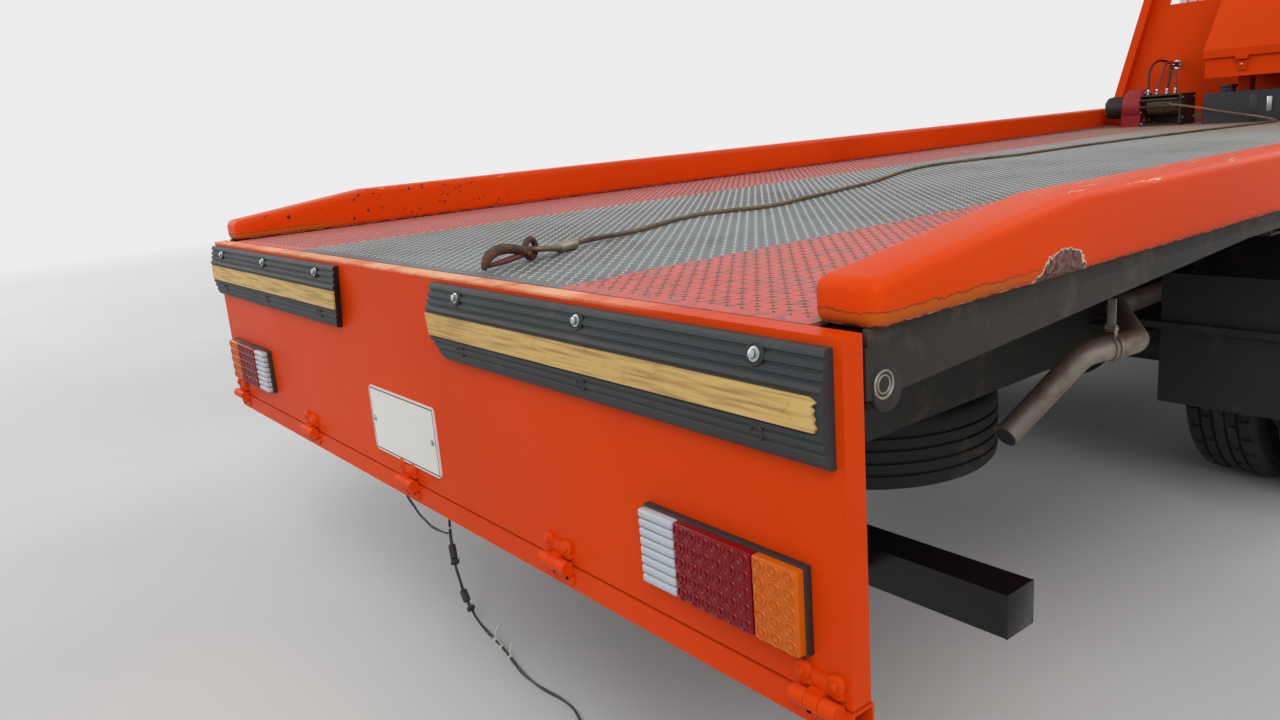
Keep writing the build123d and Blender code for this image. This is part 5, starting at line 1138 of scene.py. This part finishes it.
piece("pipeTip", [tipPart(exhaust["outer"], 0)], "scaledExhaustSteel", "chassis", "exhaust_steel")
# the black disc just proud of the slanted cut is soot, and painted shade for the open pipe's hollow inside
piece("pipeMouthSootAndShade", [tipPart(exhaust["inner"], 0.0005)], "hoseRubber", "chassis", "exhaust_steel")
clampWay = (upper - bend).normalized()
clampAt = (upper + bend) / 2
clampSide = clampWay.cross(Vector((0, 0, 1))).normalized()
clamp = [ringAt(clampAt + clampWay * along, clampWay, exhaust["clamp"], 0.0042, 36, 8)
         for along in (-0.006, 0.008)]
for side in (-exhaust["clampBolts"], exhaust["clampBolts"]):
    stud = clampAt + clampSide * side
    clamp.append(disc(stud + Vector((0, 0, 0.044)), (0, 0, 1), 0.0052, 0.032, 14, 0.002))
    clamp.append(disc(stud + Vector((0, 0, 0.050)), (0, 0, 1), 0.0085, 0.009, 6, 0.001))
clamp.append(slab(clampAt + Vector((-0.002, -0.011, 0.030)), clampAt + Vector((0.002, 0.011, 0.125)),
                  0.0008))
piece("pipeClamp", clamp, "scaledExhaustSteel", "chassis", "exhaust_steel")

# Side rails: box sections with rounded edges, whose rear ends slope down to the tailboard, in millimetres
rail = {"rear": 45, "front": 5500, "low": -1, "high": 112, "end": 58, "slope": 475, "outer": -1241,
        "inner": -1141, "round": 17, "stripOuter": -1225, "stripInner": -1217, "stripLow": -24,
        "stripTop": 2}
railPiece = slab(onBed(rail["rear"], rail["outer"], rail["low"]),
                 onBed(rail["front"], rail["inner"], rail["high"]), 0)
editAll()
bpy.ops.mesh.bisect(plane_co=onBed(rail["slope"], 0, 0), plane_no=(1, 0, 0))
leaveEdit()
for vertex in railPiece.data.vertices:
    if vertex.co.z > onBed(0, 0, rail["end"]).z and vertex.co.x < onBed(rail["slope"] / 2, 0, 0).x:
        vertex.co.z = onBed(0, 0, rail["end"]).z
settle(railPiece, rail["round"] / 1000, 4)
piece("sideRails", bothSides([railPiece]), "rail", "bed", "orange_paint", "side_rails")
strip = slab(onBed(rail["rear"], rail["stripOuter"], rail["stripLow"]),
             onBed(rail["front"], rail["stripInner"], rail["stripTop"]), 0.001)
piece("sillStrips", bothSides([strip]), "sillPaint", "bed", "orange_paint")

# Underrun beam: a cap in each end, and a bracket foot with its two bolts on each arm, in millimetres
underrun = {"cap": ((359, 1209, -526), (431, 1212.5, -454)), "arm": (300, 364, 828), "foot": (-512, -486),
            "bolts": ((352, 905, -481), (352, 855, -481))}
beamEnds = []
for way in (-1, 1):
    (x0, y0, z0), (x1, y1, z1) = underrun["cap"]
    beamEnds.append(slab(onBed(x0, way * y0, z0), onBed(x1, way * y1, z1), 0.0012))
    rear, front, y = underrun["arm"]
    beamEnds.append(slab(onBed(rear, way * y - 3, underrun["foot"][0]),
                         onBed(front, way * y + 3, underrun["foot"][1]), 0.001))
    for x, y, z in underrun["bolts"]:
        beamEnds.append(disc(onBed(x, way * y, z), (0, 0, 1), 0.009, 0.010, 6, 0.001))
piece("underrunEnds", beamEnds, "glossPowderCoat", "bed", "black_gloss")
print("underside dressed")

# Tyres: one is spun from its section and its tread cut, the others are copies

tyre = {
    "steps": 96, "crown": 0.391, "rows": {1: (frontAxleX, [0.845]), 2: (rearAxleX, [0.691, 0.959])},
    "half": [
        (0.0777, 0.2223), (0.0800, 0.2380), (0.1000, 0.2620), (0.1090, 0.2900), (0.1118, 0.3060),
        (0.1095, 0.3110), (0.1122, 0.3170), (0.1085, 0.3500), (0.1055, 0.3560), (0.1075, 0.3620),
        (0.1010, 0.3820), (0.0900, 0.3910), (0.0780, 0.3940), (0.0600, 0.3948), (0.0590, 0.3840),
        (0.0510, 0.3840), (0.0500, 0.3950), (0.0240, 0.3950), (0.0230, 0.3840), (0.0150, 0.3840),
        (0.0140, 0.3950)],
    "sipes": [(0.061, 0.10, 3, 0.0075), (0.024, 0.050, 4, 0.006), (0.0, 0.0139, 4, 0.006)],
}
rim = {
    "section": [
        (-0.086, 0.208), (-0.086, 0.234), (-0.078, 0.234), (-0.078, 0.222), (0.078, 0.222), (0.078, 0.234),
        (0.086, 0.234), (0.086, 0.208), (0.050, 0.207), (0.012, 0.120), (0.012, 0.050), (0.002, 0.050),
        (0.002, 0.124), (0.038, 0.208)],
    "nuts": 6, "nutCircle": 0.097, "nutFrontY": 0.895, "nutRearY": 0.839,
}


def spun(section, steps):
    # A closed ring about the Y axis from a section of (y, radius) points
    clearSelection()
    bpy.ops.mesh.primitive_circle_add(vertices=len(section), radius=0.1)
    ring = bpy.context.object
    for vertex, (y, radius) in zip(ring.data.vertices, section):
        vertex.co = (0, y, radius)
    editAll()
    bpy.ops.mesh.spin(steps=steps, angle=2 * math.pi, center=(0, 0, 0), axis=(0, 1, 0), use_auto_merge=True)
    bpy.ops.mesh.select_all(action="SELECT")
    bpy.ops.mesh.remove_doubles(threshold=0.00005)
    bpy.ops.mesh.normals_make_consistent(inside=False)
    leaveEdit()
    return settle(ring)


def cutTread(ring):
    # Sipes across the ribs: every few faces of the crown sink into the rubber
    for low, high, every, deep in tyre["sipes"]:
        pick(ring)
        bpy.ops.object.mode_set(mode="EDIT")
        bpy.ops.mesh.select_mode(type="FACE")
        bpy.ops.mesh.select_all(action="DESELECT")
        leaveEdit()
        for face in ring.data.polygons:
            middle = face.center
            radius = math.hypot(middle.x, middle.z)
            index = int(round(math.degrees(math.atan2(middle.z, middle.x)) / 360 * tyre["steps"] - 0.5))
            start = 0 if middle.y > 0 else 1
            if radius > tyre["crown"] and low < abs(middle.y) < high and index % every == start:
                face.select = True
        bpy.ops.object.mode_set(mode="EDIT")
        bpy.ops.mesh.inset(thickness=0.0022, depth=-deep, use_even_offset=True)
        leaveEdit()
    return ring


section = tyre["half"] + [(-y, radius) for y, radius in reversed(tyre["half"])]
plainTyre = spun(section, tyre["steps"])
modelTyre = cutTread(moved(plainTyre, Matrix()))
tyreSets = {
    "tyreFrontLeft": ("wheel_front_left", "tyre_front_left", 1, 1),
    "tyreFrontRight": ("wheel_front_right", "tyre_front_right", 1, -1),
    "tyresRearLeft": ("wheels_rear_left", "tyres_rear_left", 2, 1),
    "tyresRearRight": ("wheels_rear_right", "tyres_rear_right", 2, -1),
}
for name, (body, node, row, way) in tyreSets.items():
    x, tracks = tyre["rows"][row]
    tyres = [moved(modelTyre, Matrix.Translation((x, way * track, wheelZ))) for track in tracks]
    piece(name, tyres, "vulcanisedRubber", body, "tyre_rubber", node)
    nuts = []
    nutY = rim["nutFrontY"] if row == 1 else rim["nutRearY"]
    for turn in range(rim["nuts"]):
        angle = math.radians(30 + 360 / rim["nuts"] * turn)
        spot = Vector((x + rim["nutCircle"] * math.cos(angle), way * nutY,
                       wheelZ + rim["nutCircle"] * math.sin(angle)))
        nuts.append(disc(spot + Vector((0, way * 0.012, 0)), (0, 1, 0), 0.0135, 0.026, 6, 0.0015))
        nuts.append(disc(spot + Vector((0, way * 0.026, 0)), (0, 1, 0), 0.0085, 0.016, 16, 0.001))
    piece(name.replace("tyres", "wheelNuts").replace("tyre", "wheelNuts"), nuts, "zincPlatedSteel", body,
          "rim_paint")
spareAt = middleOf("spare_wheel")
flat = Matrix.Translation((spareAt.x, 0, spareAt.z)) @ Matrix.Rotation(math.pi / 2, 4, "X")
spareRim = spun(rim["section"], 64)
for part in (plainTyre, spareRim):
    part.data.transform(flat)
piece("spareTyre", [plainTyre], "vulcanisedRubber", "chassis", "tyre_rubber", "spare_wheel")
piece("spareRim", [spareRim], "silverWheelPaint", "chassis", "rim_paint", "spare_wheel")
bpy.data.objects.remove(modelTyre)
print("wheels dressed")

# Cab: seals, door handles, wipers, arch lips, lamps, mirror glass, light bar, seats

def roundLoop(corners, radius):
    # The corners joined by straight sides, each corner turned over a short curve
    loop = []
    for before, corner, after in zip(corners[-1:] + corners[:-1], corners, corners[1:] + corners[:1]):
        first = corner + (before - corner).normalized() * radius
        last = corner + (after - corner).normalized() * radius
        for step in range(7):
            t = step / 6
            loop.append(first * (1 - t) ** 2 + corner * 2 * t * (1 - t) + last * t ** 2)
    return loop


def screenX(z):
    # The windscreen leans back 300 mm from its lower edge to its upper one
    return cabFront - 0.030 - (z - screenLow) / (screenHigh - screenLow) * 0.300


def fourCorners(half, low, high, halfHigh):
    # Corners of a window as (y, z): wider below than above
    return (-half, low), (half, low), (halfHigh, high), (-halfHigh, high)


seal = {"thick": 0.010, "front": (0.870, screenLow + 0.060, screenHigh - 0.040, 0.800),
        "rear": (0.520, screenLow + 0.120, screenHigh - 0.110, 0.520), "corner": 0.07,
        "doorThick": 0.008, "doorCorner": 0.035}
screen = [Vector((screenX(z) + 0.003, y, z)) for y, z in fourCorners(*seal["front"])]
window = [Vector((cabRear - 0.002, y, z)) for y, z in fourCorners(*seal["rear"])]
seals = [tube(roundLoop(corners, seal["corner"]), seal["thick"], True) for corners in (screen, window)]
piece("cabSeals", seals, "sheetRubber", "cab", "black_rubber")

# The door's window as (x, z), and its handle from the door's rear edge, the cab's side and the belt line
door = {"window": [(doorRear + 0.075, beltZ + 0.040), (doorFront - 0.085, beltZ + 0.040),
                   (doorFront - 0.290, doorHigh - 0.065), (doorRear + 0.075, doorHigh - 0.065)],
        "recess": ((0.055, -0.002, -0.125), (0.205, 0.006, -0.060)),
        "grip": ((0.070, 0.004, -0.100), (0.190, 0.024, -0.078)), "lock": (0.225, 0.002, -0.092)}
for way, body, side in ((1, "door_left", "Left"), (-1, "door_right", "Right")):
    y = way * (cabHalf + 0.001)
    corners = [Vector((x, y, z)) for x, z in door["window"]]
    piece(f"doorSeal{side}", [tube(roundLoop(corners, seal["doorCorner"]), seal["doorThick"], True)],
          "sheetRubber", body, "black_rubber")
    recess, grip = ([Vector((doorRear + x, way * (cabHalf + y), beltZ + z)) for x, y, z in door[key]]
                    for key in ("recess", "grip"))
    lockX, lockY, lockZ = door["lock"]
    handle = [slab(*recess, 0.003), slab(*grip, 0.006, 3),
              disc((doorRear + lockX, way * (cabHalf + lockY), beltZ + lockZ), (0, 1, 0), 0.011, 0.008, 24)]
    piece(f"doorHandle{side}", handle, "mouldedAbs", body, "black_plastic")

wiper = {"feet": (0.42, -0.30), "low": screenLow + 0.035, "high": screenLow + 0.20, "lean": 0.28,
         "arm": 0.0055, "blade": 0.0065}
wipers = []
for foot in wiper["feet"]:
    z0, z1, tip = wiper["low"], wiper["high"], foot - wiper["lean"]
    wipers.append(disc((screenX(z0) + 0.012, foot, z0), (1, 0, 0.4), 0.018, 0.030, 20, 0.002))
    wipers.append(tube([Vector((screenX(z0) + 0.028, foot, z0)), Vector((screenX(z1) + 0.026, tip, z1))],
                       wiper["arm"], False, 2))
    blade = [Vector((screenX(z) + 0.012, y, z))
             for y, z in ((foot + 0.02, z1 - 0.075), (tip, z1), (tip - 0.28, z1 + 0.06))]
    wipers.append(tube(blade, wiper["blade"], False, 2, "NURBS"))
piece("wipers", wipers, "mouldedAbs", "cab", "black_plastic")

arch = {"radius": 0.466, "thick": 0.013, "from": 46, "to": 135, "step": 4}
arches = []
for way in (-1, 1):
    turns = [math.radians(degrees) for degrees in range(arch["from"], arch["to"], arch["step"])]
    arc = [Vector((frontAxleX + arch["radius"] * math.cos(turn), way * (cabHalf - 0.002),
                   wheelZ + arch["radius"] * math.sin(turn))) for turn in turns]
    arches.append(tube(arc, arch["thick"], False, 3))
piece("archLips", arches, "mouldedAbs", "cab", "black_plastic")

headlamp = {"low": cabFloor + 0.010, "high": cabFloor + 0.170, "inner": 0.600, "outer": 0.900,
            "bulbs": (0.675, 0.825), "ring": 0.058, "bulb": 0.030}
marker = {"places": (-0.62, -0.31, 0, 0.31, 0.62), "rear": 0.56, "front": 0.50, "half": 0.04}
lampMiddle = (headlamp["low"] + headlamp["high"]) / 2
bezels, reflectors, indicators = [], [], []
for way in (-1, 1):
    corners = [Vector((cabFront + 0.022, way * y, z)) for y, z in (
        (headlamp["inner"], headlamp["low"]), (headlamp["outer"], headlamp["low"]),
        (headlamp["outer"], headlamp["high"]), (headlamp["inner"], headlamp["high"]))]
    bezels.append(tube(roundLoop(corners, 0.03), 0.009, True))
    for y in headlamp["bulbs"]:
        spot = Vector((cabFront + 0.022, way * y, lampMiddle))
        reflectors.append(ringAt(spot, (1, 0, 0), headlamp["ring"], 0.006, 40))
        reflectors.append(disc(spot - Vector((0.001, 0, 0)), (1, 0, 0), headlamp["bulb"], 0.008, 32, 0.003))
    indicators.append(slab((cabFront - 0.060, way * 0.915, headlamp["low"] + 0.01),
                           (cabFront + 0.012, way * 0.985, headlamp["high"]), 0.008, 3))
    indicators.append(slab((doorFront + 0.075, way * (cabHalf - 0.004), cabFloor + 0.32),
                           (doorFront + 0.150, way * (cabHalf + 0.014), cabFloor + 0.365), 0.005, 3))
for y in marker["places"]:
    indicators.append(slab((cabFront - marker["rear"], y - marker["half"], cabRoof - 0.004),
                           (cabFront - marker["front"], y + marker["half"], cabRoof + 0.026), 0.010, 3))
piece("headlampBezels", bezels, "mouldedAbs", "cab", "black_plastic")
piece("headlampReflectors", reflectors, "hardChrome", "cab", "lamp_clear")
piece("cabIndicators", indicators, "amberLens", "cab", "amber_lens")

mirror = {"x": doorFront + 0.090, "rear": 0.0368, "front": 0.0345, "inner": 0.072, "outer": 0.258,
          "low": 0.104, "high": 0.418}
mirrors = [slab((mirror["x"] - mirror["rear"], way * (cabHalf + mirror["inner"]), beltZ + mirror["low"]),
                (mirror["x"] - mirror["front"], way * (cabHalf + mirror["outer"]), beltZ + mirror["high"]),
                0.0006)
           for way in (-1, 1)]
piece("mirrorGlass", mirrors, "silveredGlass", "cab", "chrome_rod")

lightBar = {"half": 0.566, "seamLow": 0.028, "seamHigh": 0.046, "ribs": (-0.28, 0, 0.28), "ribHalf": 0.012}
barLow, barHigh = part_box("light_bar")
barParts = [slab((barLow.x - 0.004, -lightBar["half"], barLow.z + lightBar["seamLow"]),
                 (barHigh.x + 0.004, lightBar["half"], barLow.z + lightBar["seamHigh"]), 0.004)]
for y in lightBar["ribs"]:
    barParts.append(slab((barLow.x - 0.002, y - lightBar["ribHalf"], barLow.z + 0.030),
                         (barHigh.x + 0.002, y + lightBar["ribHalf"], barHigh.z + 0.001), 0.004))
piece("lightBarBase", barParts, "mouldedAbs", "cab", "black_plastic")

front = {"plateHalf": 0.260, "plateLow": 0.455, "plateHigh": 0.567, "fogY": 0.62, "fogZ": 0.515}
plate = slab((noseX - 0.001, -front["plateHalf"], front["plateLow"]),
             (noseX + 0.002, front["plateHalf"], front["plateHigh"]), 0.0012)
piece("frontPlate", [plate], "whitePressedPlate", "chassis", "plate_white")
fogLamps = []
for way in (-1, 1):
    fogLamps.append(ringAt((noseX - 0.006, way * front["fogY"], front["fogZ"]), (1, 0, 0), 0.052, 0.009, 40))
    fogLamps.append(disc((noseX - 0.010, way * front["fogY"], front["fogZ"]), (1, 0, 0), 0.050, 0.018, 36,
                         0.005))
piece("fogLamps", fogLamps, "lampGlass", "chassis", "lamp_clear")


def cushion(low, high, crown):
    # A crowned pad: its middle swells, its sides pull in, and two channels run along its face
    pad = slab(low, high, 0.028, 4)
    editAll()
    bpy.ops.mesh.subdivide(number_cuts=6)
    leaveEdit()
    middle, half = (Vector(low) + Vector(high)) / 2, (Vector(high) - Vector(low)) / 2
    for vertex in pad.data.vertices:
        share = [(vertex.co[axis] - middle[axis]) / half[axis] for axis in range(3)]
        channel = sum(math.exp(-((share[1] - side) / 0.035) ** 2) for side in (0.42, -0.42))
        for axis in range(3):
            one, two = share[(axis + 1) % 3], share[(axis + 2) % 3]
            vertex.co[axis] += share[axis] ** 3 * (1 - one ** 2) * (1 - two ** 2) * crown[axis]
            if crown[axis] > 0.008 and share[axis] > 0.6:
                vertex.co[axis] -= channel * 0.009
    return pad


seat = {"top": cabFloor + 0.240, "places": ((-0.48, "Right"), (0.48, "Left")), "recline": 0.10,
        "base": ((0.262, -0.238, 0.010), (0.758, 0.238, 0.122)), "baseCrown": (-0.004, -0.004, 0.012),
        "back": ((0.160, -0.228, 0.010), (0.250, 0.228, 0.695)), "backCrown": (0.012, -0.004, -0.004)}
pads = []
for y, side in seat["places"]:
    origin = Vector((cabRear, y, seat["top"]))
    base, back = (cushion(*(origin + Vector(corner) for corner in seat[key]), seat[key + "Crown"])
                  for key in ("base", "back"))
    for vertex in back.data.vertices:
        vertex.co.x -= (vertex.co.z - seat["top"]) * seat["recline"] - 0.004
    pads.append((side, base, back))
for name, index in (("seatBases", 1), ("seatBacks", 2)):
    for pad in pads:
        made = piece(name + pad[0], [pad[index]], "cloth", "cab", "seat_fabric", "seats")
print("cab dressed")

# Stage: a plain pale floor, three soft lamps and an even sky

stage = {"floor": 240, "backdrop": "ECEDEE", "sky": "E4E8EC", "skyLight": 0.66, "aim": (0, 0, 0.8),
         "lamps": {"key": ((-9, -7, 9), 7.0, 820), "fill": ((-6, 9, 6), 8.0, 300),
                   "front": ((10, -3, 8), 8.0, 320)}}


def lookingRays(tree):
    # 1 for rays that only look at a surface, from the camera, through glass or in a reflection
    rays = addNode(tree, "LightPath").outputs
    either = addNode(tree, "Math", links={0: rays["Is Camera Ray"], 1: rays["Is Transmission Ray"]},
                     operation="MAXIMUM").outputs[0]
    return addNode(tree, "Math", links={0: either, 1: rays["Is Glossy Ray"]}, operation="MAXIMUM").outputs[0]


def paleFloor():
    # Matt painted concrete, uneven in clouds of 1.7 m. Past 5.5 m it goes over into the backdrop's shade
    material, tree, shader, place = startMaterial("paleMattFloor")
    mottle = addNode(tree, "TexNoise", {"Scale": 0.6, "Detail": 5}, {"Vector": place}).outputs["Fac"]
    shade = addNode(tree, "ValToRGB", links={"Fac": mottle}, stops=[(0.3, "C9C8C5"), (0.7, "D2D1CE")])
    tree.links.new(shade.outputs["Color"], shader.inputs["Base Color"])
    shader.inputs["Roughness"].default_value = 0.85
    far = addNode(tree, "VectorMath", links={0: place}, operation="LENGTH").outputs["Value"]
    share = addNode(tree, "MapRange", {"From Min": 5.5, "From Max": 15.0}, {"Value": far}).outputs["Result"]
    backdrop = addNode(tree, "Emission", {"Color": linear(stage["backdrop"]), "Strength": 1.0}).outputs[0]
    both = addNode(tree, "MixShader",
                   links={0: meeting(tree, share, lookingRays(tree)), 1: shader.outputs[0],
                                             2: backdrop})
    out = [item for item in tree.nodes if item.type == "OUTPUT_MATERIAL"][0]
    tree.links.new(both.outputs[0], out.inputs["Surface"])
    return material


bpy.ops.mesh.primitive_plane_add(size=stage["floor"], location=(0, 0, 0))
floor = bpy.context.object
floor.name = "floor"
floor.data.materials.append(paleFloor())

for name, (spot, size, power) in stage["lamps"].items():
    light = bpy.data.lights.new(name + "Lamp", "AREA")
    light.shape = "SQUARE"
    light.size = size
    light.energy = power
    holder = bpy.data.objects.new(name + "Lamp", light)
    bpy.context.scene.collection.objects.link(holder)
    holder.location = spot
    holder.rotation_euler = (Vector(stage["aim"]) - Vector(spot)).to_track_quat("-Z", "Y").to_euler()
world = bpy.data.worlds.new("evenSky")
bpy.context.scene.world = world
world.use_nodes = True
sky = world.node_tree
sky.nodes.clear()
glow = addNode(sky, "Background", {"Color": linear(stage["sky"]), "Strength": stage["skyLight"]})
seen = addNode(sky, "Background", {"Color": linear(stage["backdrop"]), "Strength": 1.0})
mixed = addNode(sky, "MixShader", links={0: lookingRays(sky), 1: glow.outputs[0], 2: seen.outputs[0]})
addNode(sky, "OutputWorld", links={"Surface": mixed.outputs[0]})
bpy.context.scene.view_settings.view_transform = "Standard"
